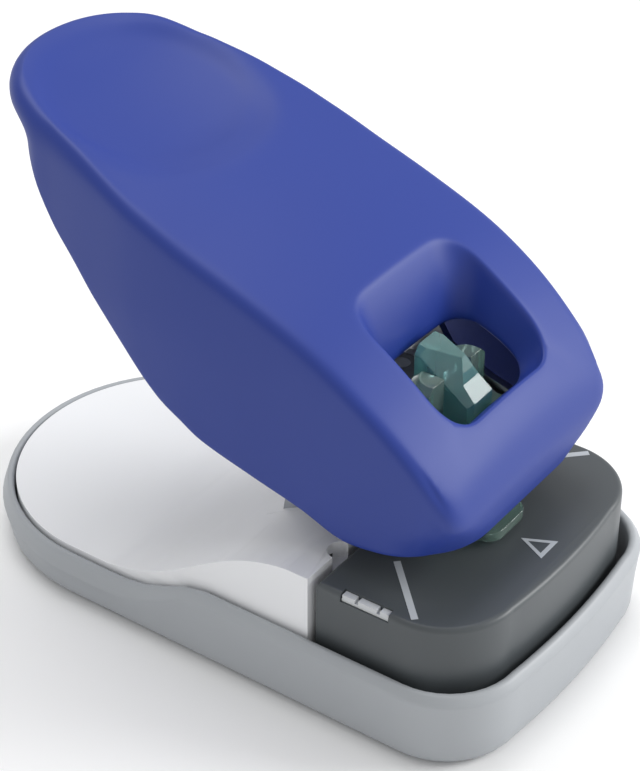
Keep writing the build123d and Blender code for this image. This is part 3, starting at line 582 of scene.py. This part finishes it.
def strip(path, points, faces, half, across):
    """Adds a rib along a plan path: it hangs from the shell's inside and has a tapered foot."""
    start = len(points)
    for i, (x, y) in enumerate(path):
        top = top_height(x, y) - RIB_TOP
        fade = min(1.0, 0.35 + i / 4, 0.35 + (len(path) - 1 - i) / 4)
        for side, z, width in ((-1, top, half), (1, top, half), (1, top - RIB_DEEP * fade, half * 0.7),
                               (-1, top - RIB_DEEP * fade, half * 0.7)):
            points.append((x + side * width * across[0], y + side * width * across[1], z))
    faces += ring_faces(len(path), 4, start)
    faces += [tuple(range(start, start + 4)), tuple(reversed(range(len(points) - 4, len(points))))]


points, faces = [], []
for y in (10.0, 18.0, 26.0, 34.0):
    reach = side_width(y) - 3.6
    strip([(-reach + 2 * reach * i / 14, y) for i in range(15)], points, faces, RIB_HALF, (0, 1))
for x in (-7.0, 7.0):
    strip([(x, 7.0 + 35.0 * i / 20) for i in range(21)], points, faces, RIB_HALF, (1, 0))
WEB_Y, WEB_Z, WEB_RISE, WEB_RUN = -3.25, 65.6, 6.0, 18.5
slope = math.atan2(WEB_RISE, WEB_RUN)
up = Vector((0, -math.sin(slope), math.cos(slope)))
along = Vector((0, math.cos(slope), math.sin(slope)))
for x in (-8.0, 8.0):
    for shift in (-5.5, 5.5):
        start = len(points)
        foot = Vector((x, WEB_Y, WEB_Z)) + along * shift
        for radius, height in ((1.12, 5.4), (1.12, 0.02), (2.6, 0.02), (2.9, 5.4)):
            for i in range(20):
                turn = math.tau * i / 20
                outward = Vector((math.cos(turn), 0, 0)) + along * math.sin(turn)
                points.append(tuple(foot + up * height + radius * outward))
        faces += ring_faces(4, 20, start)
        faces += [(start + 60 + i, start + 60 + (i + 1) % 20, start + (i + 1) % 20, start + i) for i in range(20)]
lever_ribs = mesh_piece("lever_ribs", points, faces, smooth=False)
finish_piece(lever_ribs, lever_blue, "lever", slot="lever_plastic")

# %% [markdown]
# The base tray, the white cover and the paper table share one plan outline: a round rear, straight flanks and a
# slightly bowed front with round corners. A lathe can't make that shape, and a traced curve would be hard to
# change. One function gives the outline for any width, front, rear and corner, always with the same number of
# points, so that outlines of different sizes can be joined into walls.

# %% Plan outline
def plan_loop(half, front, rear, corner, bow=1.0):
    """Points of the outline in millimetres, from the rear of the right flank forward round the nose and back."""
    loop = []
    centre = rear - half
    flank = front + corner + bow
    for i in range(16):
        loop.append((half, centre + (flank - centre) * i / 16))
    for i in range(10):
        turn = math.pi / 2 * i / 10
        loop.append((half - corner + corner * math.cos(turn), flank - corner * math.sin(turn)))
    for i in range(12):
        x = (half - corner) * (1 - 2 * i / 12)
        loop.append((x, front + bow * (x / (half - corner)) ** 2))
    for i in range(10):
        turn = math.pi / 2 * i / 10
        loop.append((-half + corner - corner * math.sin(turn), flank - corner * math.cos(turn)))
    for i in range(16):
        loop.append((-half, flank + (centre - flank) * i / 16))
    for i in range(36):
        turn = math.pi * i / 36
        loop.append((-half * math.cos(turn), centre + half * math.sin(turn)))
    return loop


print("plan outline of", len(plan_loop(31, -56.4, 56.6, 14)), "points")

# %% [markdown]
# The tray is a shallow tub with a rolled rim that steps down behind the paper table in a soft S. It could be a
# swept profile, but the rim's height changes along the way. Stacked rings of the plan outline, each at its own
# inset and height, give the wall, the bevelled rim and the inside in one closed mesh. Cutters then sink the
# round pockets for the six case screws and the four foot pads into its underside.

# %% The base tray
TRAY = dict(half=31.0, front=-56.4, rear=56.6, corner=14.0)
rim_curve = curve_through([(-60, 14.4), (-3.5, 14.4), (-0.2, 13.7), (2.9, 12.4), (7.2, 10.5), (11.5, 9.4),
                           (16, 9.15), (57, 9.6)])


def tray_ring(inset, height):
    """A ring of the tray: height is a number, or a function of y."""
    corner = max(TRAY["corner"] - inset, 1)
    loop = plan_loop(TRAY["half"] - inset, TRAY["front"] + inset, TRAY["rear"] - inset, corner)
    return [(x, y, height(y) if callable(height) else height) for x, y in loop]


def below_rim(front_drop, rear_drop):
    return lambda y: rim_curve(y) - (front_drop + (rear_drop - front_drop) * ease((y + 4) / 20))


tray_rings = [
    tray_ring(2.6, 0.5), tray_ring(2.4, 0.52), tray_ring(1.5, 0.8), tray_ring(1.0, 1.5), tray_ring(0.75, 2.6),
    tray_ring(0.45, lambda y: 2.6 + (rim_curve(y) - 4.6) * 0.6)]
for inset, front_drop, rear_drop in (
        (0.12, 1.9, 3.4), (0.05, 1.5, 2.9), (0.22, 1.1, 2.4), (0.72, 0.45, 0.9), (0.95, 0.15, 0.3),
        (1.2, 0.0, 0.02), (1.5, -0.03, -0.03), (1.85, 0.02, 0.02), (2.1, 0.25, 0.25), (2.2, 0.8, 0.8)):
    tray_rings.append(tray_ring(inset, below_rim(front_drop, rear_drop)))
tray_rings += [tray_ring(2.2, 4.0), tray_ring(2.3, 2.8), tray_ring(2.9, 2.5)]
points = [p for ring in tray_rings for p in ring]
count = len(tray_rings[0])
faces = ring_faces(len(tray_rings), count)
faces.append(tuple(range(count)))
faces.append(tuple(reversed(range(len(points) - count, len(points)))))
base_tray = mesh_piece("base_tray_shell", points, faces)

# %% Pockets under the tray
CASE_SCREWS = [(side * x, y) for x, y in ((20.0, -38.0), (20.0, -9.0), (18.0, 25.0)) for side in (-1, 1)]
FEET = [(-19.0, -47.0), (19.0, -47.0), (-14.0, 43.0), (14.0, 43.0)]


def round_pockets(name, places, radius, low, high, sides=32):
    """Closed cylinders, one for each place, to cut pockets with."""
    points, faces = [], []
    for x, y in places:
        start = len(points)
        for z in (low, high):
            points += [(x + radius * math.cos(math.tau * i / sides), y + radius * math.sin(math.tau * i / sides), z)
                       for i in range(sides)]
        faces += ring_faces(2, sides, start)
        faces += [tuple(start + i for i in reversed(range(sides))), tuple(start + sides + i for i in range(sides))]
    return mesh_piece(name, points, faces, smooth=False)


SCREW_POCKET, FOOT_POCKET = (2.75, -1.0, 2.45), (4.6, -1.0, 1.3)
cutters = [round_pockets("screw_pockets", CASE_SCREWS, *SCREW_POCKET),
           round_pockets("foot_pockets", FEET, *FOOT_POCKET)]
for cutter in cutters:
    cut = base_tray.modifiers.new("pockets", "BOOLEAN")
    cut.operation = "DIFFERENCE"
    cut.solver = "EXACT"
    cut.object = cutter
cut_mesh = bpy.data.meshes.new_from_object(base_tray.evaluated_get(bpy.context.evaluated_depsgraph_get()))
base_tray.modifiers.clear()
base_tray.data = cut_mesh
for cutter in cutters:
    bpy.data.objects.remove(cutter)
base_tray.data.set_sharp_from_angle(angle=math.radians(50))
finish_piece(base_tray, tray_grey, "base", "base_tray", slot="tray_plastic")

# %% [markdown]
# Some CAD parts already have the right shape and only look too sharp. A copy of such a part has its loose
# triangles merged and its flat faces joined, and a Bevel modifier rounds the edges as a mould does.

# %% Softened copies of CAD parts
def softened(node, name, width, material, body, slot_name, segments=2, angle=35):
    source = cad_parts[node]
    mesh = source.data.copy()
    bm = bmesh.new()
    bm.from_mesh(mesh)
    bmesh.ops.remove_doubles(bm, verts=bm.verts, dist=2e-6)
    bmesh.ops.dissolve_limit(bm, angle_limit=math.radians(1.0), verts=bm.verts, edges=bm.edges)
    bm.to_mesh(mesh)
    bm.free()
    piece = bpy.data.objects.new(name, mesh)
    bpy.context.scene.collection.objects.link(piece)
    for face in mesh.polygons:
        face.use_smooth = True
    mesh.set_sharp_from_angle(angle=math.radians(angle))
    bevel = piece.modifiers.new("round_edges", "BEVEL")
    bevel.width = width * MM
    bevel.segments = segments
    bevel.limit_method = "ANGLE"
    bevel.angle_limit = math.radians(angle)
    bevel.harden_normals = True
    finish_piece(piece, material, body, node, slot=slot_name)
    return piece


softened("paper_table", "paper_table_top", 0.8, table_dark, "base", "table_plastic", 3)
softened("body_cover", "body_cover_shell", 0.5, cover_white, "base", "cover_plastic", 2)

# %% [markdown]
# Under the lever the cover has an opening for the moving parts. Its rear end is closed by a thin tongue that
# follows the cover's slope, so no gap shows from above. The slope is measured on the CAD cover with rays from
# above, which is surer than repeating its curve.

# %% The cover's tongue
from mathutils.bvhtree import BVHTree

cover_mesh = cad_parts["body_cover"].data
cover_tree = BVHTree.FromPolygons(
    [v.co for v in cover_mesh.vertices], [tuple(p.vertices) for p in cover_mesh.polygons])


def cover_height(y):
    hit = cover_tree.ray_cast(Vector((13.4 * MM, y * MM, 0.2)), Vector((0, 0, -1)))[0]
    return hit.z / MM


tongue_rows = [-11.0 + 0.55 * i for i in range(15)]
tongue_points, tongue_faces = [], []
for y in tongue_rows:
    top = cover_height(y)
    tongue_points += [(-12.42, y, top), (12.42, y, top), (12.42, y, top - 1.9), (-12.42, y, top - 1.9)]
tongue_faces = ring_faces(len(tongue_rows), 4)
tongue_faces += [(0, 1, 2, 3), tuple(reversed(range(len(tongue_points) - 4, len(tongue_points))))]
cover_tongue = mesh_piece("cover_tongue", tongue_points, tongue_faces)
cover_tongue.data.set_sharp_from_angle(angle=math.radians(35))
finish_piece(cover_tongue, cover_white, "base", slot="cover_plastic")

# %% [markdown]
# The punch block and the guide round it are clear mouldings with flat, polished facets. Glass needs closed,
# outward facing shells, so copies of the CAD parts are merged and given one narrow facet along every edge, with
# flat shading: a facet catches the light as a cut edge does. The tint sits in the base colour, and a group
# gives faint flow clouds as a moulded clear part has.

# %% Node group for clear plastic
clear_group, given, result = new_group(
    "clear_moulding",
    [("Color", "Color", (0.8, 0.9, 0.9, 1)), ("Deep Color", "Color", (0.5, 0.8, 0.8, 1)),
     ("Cloud Size", "Float", 4.0), ("Roughness", "Float", 0.03)],
    [("Color", "Color"), ("Roughness", "Float")])
scale = math_of(clear_group, "DIVIDE", MM_PER_METRE, given["Cloud Size"])
cloud = noise_of(clear_group, object_place(clear_group), scale, 1.0)
clear_group.links.new(mixed(clear_group, cloud, given["Color"], given["Deep Color"]), result["Color"])
clear_group.links.new(spread(clear_group, cloud, 0.0, 0.04, given["Roughness"]), result["Roughness"])
ACRYLIC_IOR = 1.49


def clear_plastic(name, color, deep, clearness):
    return finish_of(name, clear_group, {"Color": color, "Deep Color": deep, "Roughness": 0.03},
                     Transmission_Weight=clearness, IOR=ACRYLIC_IOR)


teal_clear = clear_plastic("teal_clear", srgb(205, 246, 243), srgb(140, 218, 216), 0.82)
guide_clear = clear_plastic("guide_clear", srgb(214, 240, 232), srgb(176, 216, 200), 0.88)
print("clear materials:", teal_clear.name, guide_clear.name)

# %% The clear punch block and its guide
def faceted(node, name, width, material, body, slot_name):
    piece = softened(node, name, width, material, body, slot_name, 1, 30)
    for face in piece.data.polygons:
        face.use_smooth = False
    piece.modifiers["round_edges"].harden_normals = False
    return piece


def facet_cuts(node, planes):
    """A copy of a CAD part's mesh with slanted slices taken off its crown. A plane is a point and a direction."""
    bm = bmesh.new()
    bm.from_mesh(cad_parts[node].data)
    bmesh.ops.remove_doubles(bm, verts=bm.verts, dist=2e-6)
    bmesh.ops.dissolve_limit(bm, angle_limit=math.radians(1.0), verts=bm.verts, edges=bm.edges)
    for place, direction in planes:
        parts = list(bm.verts) + list(bm.edges) + list(bm.faces)
        cut = bmesh.ops.bisect_plane(bm, geom=parts, dist=1e-7, plane_co=Vector(place) * MM,
                                     plane_no=Vector(direction), clear_outer=True)
        rim = [e for e in cut["geom_cut"] if isinstance(e, bmesh.types.BMEdge)]
        bmesh.ops.holes_fill(bm, edges=rim, sides=0)
    bmesh.ops.recalc_face_normals(bm, faces=bm.faces)
    mesh = bpy.data.meshes.new(node + "_cut")
    bm.to_mesh(mesh)
    bm.free()
    return mesh


punch_piece = faceted("punch_block", "punch_block_clear", 0.35, teal_clear, "carriage", "teal_clear_plastic")
punch_piece.data = facet_cuts("punch_block", [
    ((-2.2, -28.0, 55.5), (-0.75, 0.0, 0.66)), ((2.2, -28.0, 55.5), (0.75, 0.0, 0.66)),
    ((-3.4, -33.0, 49.4), (-0.8, -0.35, 0.5)), ((3.4, -33.0, 49.4), (0.8, -0.35, 0.5))])
punch_piece.data.materials.append(teal_clear)
for face in punch_piece.data.polygons:
    face.use_smooth = False
faceted("guide_block", "guide_block_clear", 0.6, guide_clear, "base", "clear_plastic")

# %% [markdown]
# The paper table carries a printed arrow head where the sheets' middle goes and two lines for their corners.
# Print is a film of ink, so each mark is a very thin plate that stands a twentieth of a millimetre above the
# table. Paint in the table's own material would work too, but separate plates stay crisp at any distance.

# %% Printed marks on the table
def plate(points, faces, low, high, name):
    """Closed thin plate from flat outlines that share one list of points."""
    count = len(points)
    solid = [(x, y, high) for x, y in points] + [(x, y, low) for x, y in points]
    shell = list(faces) + [tuple(count + i for i in reversed(face)) for face in faces]
    used = {}
    for face in faces:
        for a, b in zip(face, face[1:] + face[:1]):
            used[(a, b)] = True
    for a, b in used:
        if (b, a) not in used:
            shell.append((a, a + count, b + count, b))
    return mesh_piece(name, solid, shell, smooth=False)


table_top = 1000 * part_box("paper_table")[1][2]
apex, base, half_base, stroke = -44.1, -49.3, 2.6, 0.75
outer = [(0, apex), (-half_base, base), (half_base, base)]
inner_half = half_base - 1.45 * stroke
inner = [(0, apex - 1.65 * stroke), (-inner_half, base + stroke), (inner_half, base + stroke)]
ring = [(0, 1, 4, 3), (1, 2, 5, 4), (2, 0, 3, 5)]
arrow_mark = plate(outer + inner, ring, table_top - 0.02, table_top + 0.05, "arrow_mark")
finish_piece(arrow_mark, mark_paint, "base")
for side, label in ((-1, "left"), (1, "right")):
    a, b = (side * 16.2, -31.5), (side * 26.2, -41.4)
    along = Vector((b[0] - a[0], b[1] - a[1])).normalized()
    across = Vector((-along.y, along.x)) * 0.55
    bar = [(a[0] + across.x, a[1] + across.y), (a[0] - across.x, a[1] - across.y),
           (b[0] - across.x, b[1] - across.y), (b[0] + across.x, b[1] + across.y)]
    line = plate(bar, [(0, 1, 2, 3)], table_top - 0.02, table_top + 0.05, "guide_line_" + label)
    finish_piece(line, mark_paint, "base")

# %% [markdown]
# The mechanism is pressed and turned steel. Its shapes are right in the CAD model, so those parts stay and only
# get a finish: a group makes fine scratches along one direction and a slow change of tone, as rolled strip has.
# The nylon bushes, the grey carriage and the springs get their own values of the same groups.

# %% Node group for worked steel
steel_group, given, result = new_group(
    "worked_steel",
    [("Color", "Color", (0.6, 0.6, 0.62, 1)), ("Worn Color", "Color", (0.4, 0.4, 0.42, 1)),
     ("Scratch Size", "Float", 0.12), ("Stretch", "Float", 0.06), ("Roughness", "Float", 0.28),
     ("Depth", "Float", 0.12)],
    [("Color", "Color"), ("Roughness", "Float"), ("Normal", "Vector")])
squeeze = put(steel_group, "ShaderNodeCombineXYZ", {"X": 1.0, "Y": given["Stretch"], "Z": 1.0}).outputs["Vector"]
stretched = put(steel_group, "ShaderNodeVectorMath", {0: object_place(steel_group), 1: squeeze},
                operation="MULTIPLY")
scale = math_of(steel_group, "DIVIDE", MM_PER_METRE, given["Scratch Size"])
scratch = noise_of(steel_group, stretched.outputs["Vector"], scale, 2.0)
tone = noise_of(steel_group, object_place(steel_group), 60.0, 2.0)
bump = put(steel_group, "ShaderNodeBump", {"Distance": 0.00002, "Strength": given["Depth"], "Height": scratch})
steel_group.links.new(mixed(steel_group, tone, given["Color"], given["Worn Color"]), result["Color"])
steel_group.links.new(spread(steel_group, scratch, -0.08, 0.12, given["Roughness"]), result["Roughness"])
steel_group.links.new(bump.outputs["Normal"], result["Normal"])
print("group", steel_group.name, "with", len(steel_group.nodes), "nodes")

# %% Finishes of the mechanism
def steel(name, color, worn, roughness=0.28, scratch_size=0.12, along=0.06):
    return finish_of(name, steel_group, {"Color": color, "Worn Color": worn, "Roughness": roughness,
                                         "Scratch Size": scratch_size, "Stretch": along}, Metallic=1.0)


strip_steel = steel("strip_steel", srgb(188, 191, 194), srgb(166, 169, 173), 0.3)
turned_steel = steel("turned_steel", srgb(205, 207, 210), srgb(182, 184, 188), 0.2, 0.08, 1.0)
spring_steel = steel("spring_steel", srgb(176, 178, 180), srgb(148, 149, 152), 0.25, 0.1, 1.0)
screw_zinc = steel("screw_zinc", srgb(196, 198, 202), srgb(172, 174, 178), 0.26, 0.1, 0.4)
die_steel = steel("die_steel", srgb(168, 170, 174), srgb(140, 142, 147), 0.34, 0.15, 0.3)
blade_steel = steel("blade_steel", srgb(206, 208, 212), srgb(186, 189, 194), 0.16, 0.06, 0.2)
beam_grey = moulded("beam_grey", srgb(92, 96, 100), srgb(80, 84, 88), 0.5, 0.45)
carried = {
    strip_steel: ["chassis", "lever_frame"],
    turned_steel: ["guide_posts", "pivot_pins", "pivot_rings", "drive_pin", "drive_rings", "pusher_pin",
                   "blade_pins"],
    spring_steel: ["pusher_spring"],
    screw_zinc: ["guide_screws", "lever_screws", "carriage_screws", "die_screws"],
    die_steel: ["die_block", "die_plate"],
    blade_steel: ["tongue_blade", "slit_blade", "tongue_pusher"],
    beam_grey: ["carriage_beam"],
    bush_nylon: ["pivot_bushes"],
}
for material, names in carried.items():
    for name in names:
        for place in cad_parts[name].material_slots:
            place.material = material
    print(material.name, "on", ", ".join(names))
# %% [markdown]
# The case is held by six cross-head screws under the tray. They are all alike, so a Geometry Nodes tree makes
# one (a low head with a crossed recess, and its shank) and puts a copy on each point of a small mesh of places.
# The named inputs are the screw's sizes. Realize Instances turns the copies into real geometry, which the
# export needs.

# %% [markdown]
# Every tree here ends the same way and uses the same few nodes, so small helpers make them: a tree with named
# inputs, a vector from its parts, a moved shape, joined shapes, a cylinder and real copies on points.

# %% Helpers for Geometry Nodes trees
def geometry_tree(name, inputs):
    tree = bpy.data.node_groups.new(name, "GeometryNodeTree")
    tree.interface.new_socket("Places", in_out="INPUT", socket_type="NodeSocketGeometry")
    for label, kind, default in inputs:
        socket = tree.interface.new_socket(label, in_out="INPUT", socket_type="NodeSocket" + kind)
        if default is not None:
            socket.default_value = default
    tree.interface.new_socket("Geometry", in_out="OUTPUT", socket_type="NodeSocketGeometry")
    return tree, tree.nodes.new("NodeGroupInput").outputs


def vector_of(tree, **parts):
    return put(tree, "ShaderNodeCombineXYZ", parts).outputs["Vector"]


def moved(tree, shape, place):
    return put(tree, "GeometryNodeTransform", {"Geometry": shape, "Translation": place}).outputs["Geometry"]


def joined(tree, *shapes):
    join = tree.nodes.new("GeometryNodeJoinGeometry")
    for shape in shapes:
        tree.links.new(shape, join.inputs[0])
    return join.outputs["Geometry"]


def cylinder(tree, sides, radius, depth):
    sizes = {"Vertices": sides, "Radius": radius, "Depth": depth}
    return put(tree, "GeometryNodeMeshCylinder", sizes).outputs["Mesh"]


def copied(tree, shape, points, **more):
    """Real copies of a shape on points."""
    copies = put(tree, "GeometryNodeInstanceOnPoints", {"Points": points, "Instance": shape, **more})
    return put(tree, "GeometryNodeRealizeInstances", {"Geometry": copies.outputs["Instances"]}).outputs["Geometry"]


def end_tree(tree, given, shape):
    """The end of every tree: real copies of the shape on the places, with the finish."""
    copies = copied(tree, shape, given["Places"])
    coat = put(tree, "GeometryNodeSetMaterial", {"Geometry": copies, "Material": given["Finish"]})
    tree.links.new(coat.outputs["Geometry"], tree.nodes.new("NodeGroupOutput").inputs["Geometry"])
    print("tree", tree.name, "with", len(tree.nodes), "nodes")


# %% Geometry Nodes tree for cross-head screws
screws, given = geometry_tree("cross_head_screws", [
    ("Head Radius", "Float", 0.0025), ("Head Height", "Float", 0.0016), ("Shank Radius", "Float", 0.0013),
    ("Shank Length", "Float", 0.006), ("Recess Length", "Float", 0.0032), ("Recess Width", "Float", 0.0006),
    ("Recess Depth", "Float", 0.0014), ("Finish", "Material", None)])
head = cylinder(screws, 32, given["Head Radius"], given["Head Height"])
recess_place = vector_of(screws, Z=math_of(screws, "MULTIPLY", given["Head Height"], -0.5))
bars = []
for long, narrow in ("XY", "YX"):
    sizes = {long: given["Recess Length"], narrow: given["Recess Width"], "Z": given["Recess Depth"]}
    bar = put(screws, "GeometryNodeMeshCube", {"Size": vector_of(screws, **sizes)}).outputs["Mesh"]
    bars.append(moved(screws, bar, recess_place))
recessed = put(screws, "GeometryNodeMeshBoolean", {"Mesh 1": head, "Mesh 2": joined(screws, *bars)},
               operation="DIFFERENCE", solver="EXACT").outputs["Mesh"]
shank = cylinder(screws, 20, given["Shank Radius"], given["Shank Length"])
shank_place = vector_of(screws, Z=math_of(screws, "MULTIPLY", given["Shank Length"], 0.5))
end_tree(screws, given, joined(screws, recessed, moved(screws, shank, shank_place)))

# %% [markdown]
# A tree only becomes part of the model when a modifier runs it. The places are the points of a small mesh, the
# sizes go in by each input's identifier before the first evaluation, and the result is kept as a plain mesh.

# %% Case screws under the tray
def grown(name, tree, places, **values):
    """A plain mesh made by a Geometry Nodes tree on a mesh of places in millimetres."""
    mesh = bpy.data.meshes.new(name)
    mesh.from_pydata([(x * MM, y * MM, z * MM) for x, y, z in places], [], [])
    piece = bpy.data.objects.new(name, mesh)
    bpy.context.scene.collection.objects.link(piece)
    modifier = piece.modifiers.new(tree.name, "NODES")
    modifier.node_group = tree
    for item in tree.interface.items_tree:
        label = item.name.replace(" ", "_").lower()
        if item.item_type == "SOCKET" and item.in_out == "INPUT" and label in values:
            modifier[item.identifier] = values[label]
    result = bpy.data.meshes.new_from_object(piece.evaluated_get(bpy.context.evaluated_depsgraph_get()))
    piece.modifiers.clear()
    piece.data = result
    result.set_sharp_from_angle(angle=math.radians(40))
    return piece


screw_low = 1000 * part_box("base_screws")[0][2]
case_screws = grown("case_screws", screws, [(x, y, screw_low + 0.8) for x, y in CASE_SCREWS], finish=screw_zinc)
finish_piece(case_screws, screw_zinc, "base", "base_screws", slot="screw_steel")

# %% [markdown]
# Each foot is a rubber pad with raised rings that grip the desk. A second tree makes it from one closed profile
# of concentric discs: a pad, and narrower discs on it, one copy for each place. Rings could be cut with
# booleans, but stacked discs are cheaper and always closed.

# %% Geometry Nodes tree for ringed foot pads
pads, given = geometry_tree("ringed_pads", [
    ("Pad Radius", "Float", 0.0045), ("Pad Height", "Float", 0.0010), ("Ring Height", "Float", 0.0003),
    ("Ring Width", "Float", 0.0004), ("Rings", "Int", 4), ("Finish", "Material", None)])
lift = math_of(pads, "MULTIPLY_ADD", given["Pad Height"], 0.5, given["Ring Height"])
pad = moved(pads, cylinder(pads, 40, given["Pad Radius"], given["Pad Height"]), vector_of(pads, Z=lift))
spots = put(pads, "GeometryNodeMeshLine", {"Count": given["Rings"], "Offset": (0, 0, 0)}).outputs["Mesh"]
circle = put(pads, "GeometryNodeCurvePrimitiveCircle", {"Resolution": 40, "Radius": 1.0}).outputs["Curve"]
number = put(pads, "GeometryNodeInputIndex", {}).outputs[0]
share = math_of(pads, "DIVIDE", math_of(pads, "ADD", number, 1.0), given["Rings"])
reach = math_of(pads, "MULTIPLY", share, math_of(pads, "SUBTRACT", given["Pad Radius"], given["Ring Width"]))
rings = copied(pads, circle, spots, Scale=vector_of(pads, X=reach, Y=reach, Z=1.0))
double = math_of(pads, "MULTIPLY", given["Ring Height"], 2.0)
section = put(pads, "GeometryNodeCurvePrimitiveQuadrilateral", {"Width": given["Ring Width"], "Height": double})
ribs = put(pads, "GeometryNodeCurveToMesh", {"Curve": rings, "Profile Curve": section.outputs["Curve"]})
ribs = moved(pads, ribs.outputs["Mesh"], vector_of(pads, Z=given["Ring Height"]))
end_tree(pads, given, joined(pads, pad, ribs))

# %% Foot pads
foot_rings = grown("foot_rings", pads, [(x, y, 0.0) for x, y in FEET], finish=foot_rubber)
finish_piece(foot_rings, foot_rubber, "base", "foot_pads", slot="foot_rubber")

# %% [markdown]
# Two coil springs on the posts lift the carriage again. A coil is a path with a round section, so a third tree
# draws a spiral, sweeps a small circle along it and copies the result to both posts.

# %% Geometry Nodes tree for coil springs
coils, given = geometry_tree("coil_springs", [
    ("Coil Radius", "Float", 0.0021), ("Wire Radius", "Float", 0.0003), ("Coil Height", "Float", 0.0099),
    ("Turns", "Float", 6.0), ("Finish", "Material", None)])
spiral = put(coils, "GeometryNodeCurveSpiral", {
    "Resolution": 28, "Rotations": given["Turns"], "Start Radius": given["Coil Radius"],
    "End Radius": given["Coil Radius"], "Height": given["Coil Height"]}).outputs["Curve"]
wire = put(coils, "GeometryNodeCurvePrimitiveCircle", {"Resolution": 10, "Radius": given["Wire Radius"]})
swept = put(coils, "GeometryNodeCurveToMesh", {
    "Curve": spiral, "Profile Curve": wire.outputs["Curve"], "Fill Caps": True}).outputs["Mesh"]
end_tree(coils, given, swept)

# %% Return springs
spring_low, spring_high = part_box("return_springs")
WIRE = 0.0003
COIL_RADIUS = 0.0021
post_x = (spring_high[0] - spring_low[0]) / 2 - COIL_RADIUS - WIRE
post_y = (spring_low[1] + spring_high[1]) / 2
coil_springs = grown(
    "coil_springs", coils, [(side * post_x / MM, post_y / MM, (spring_low[2] + WIRE) / MM) for side in (-1, 1)],
    coil_height=spring_high[2] - spring_low[2] - 2 * WIRE, finish=spring_steel)
finish_piece(coil_springs, spring_steel, "base", "return_springs", slot="spring_steel")
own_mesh(coil_springs)

# %% [markdown]
# Two small white tabs stand in slots in the table's sides and hold its skirt. The CAD copy only needs its edges
# softened.

# %% Table clips
softened("table_clips", "table_clip_tabs", 0.15, clip_white, "base", "clip_plastic", 2)
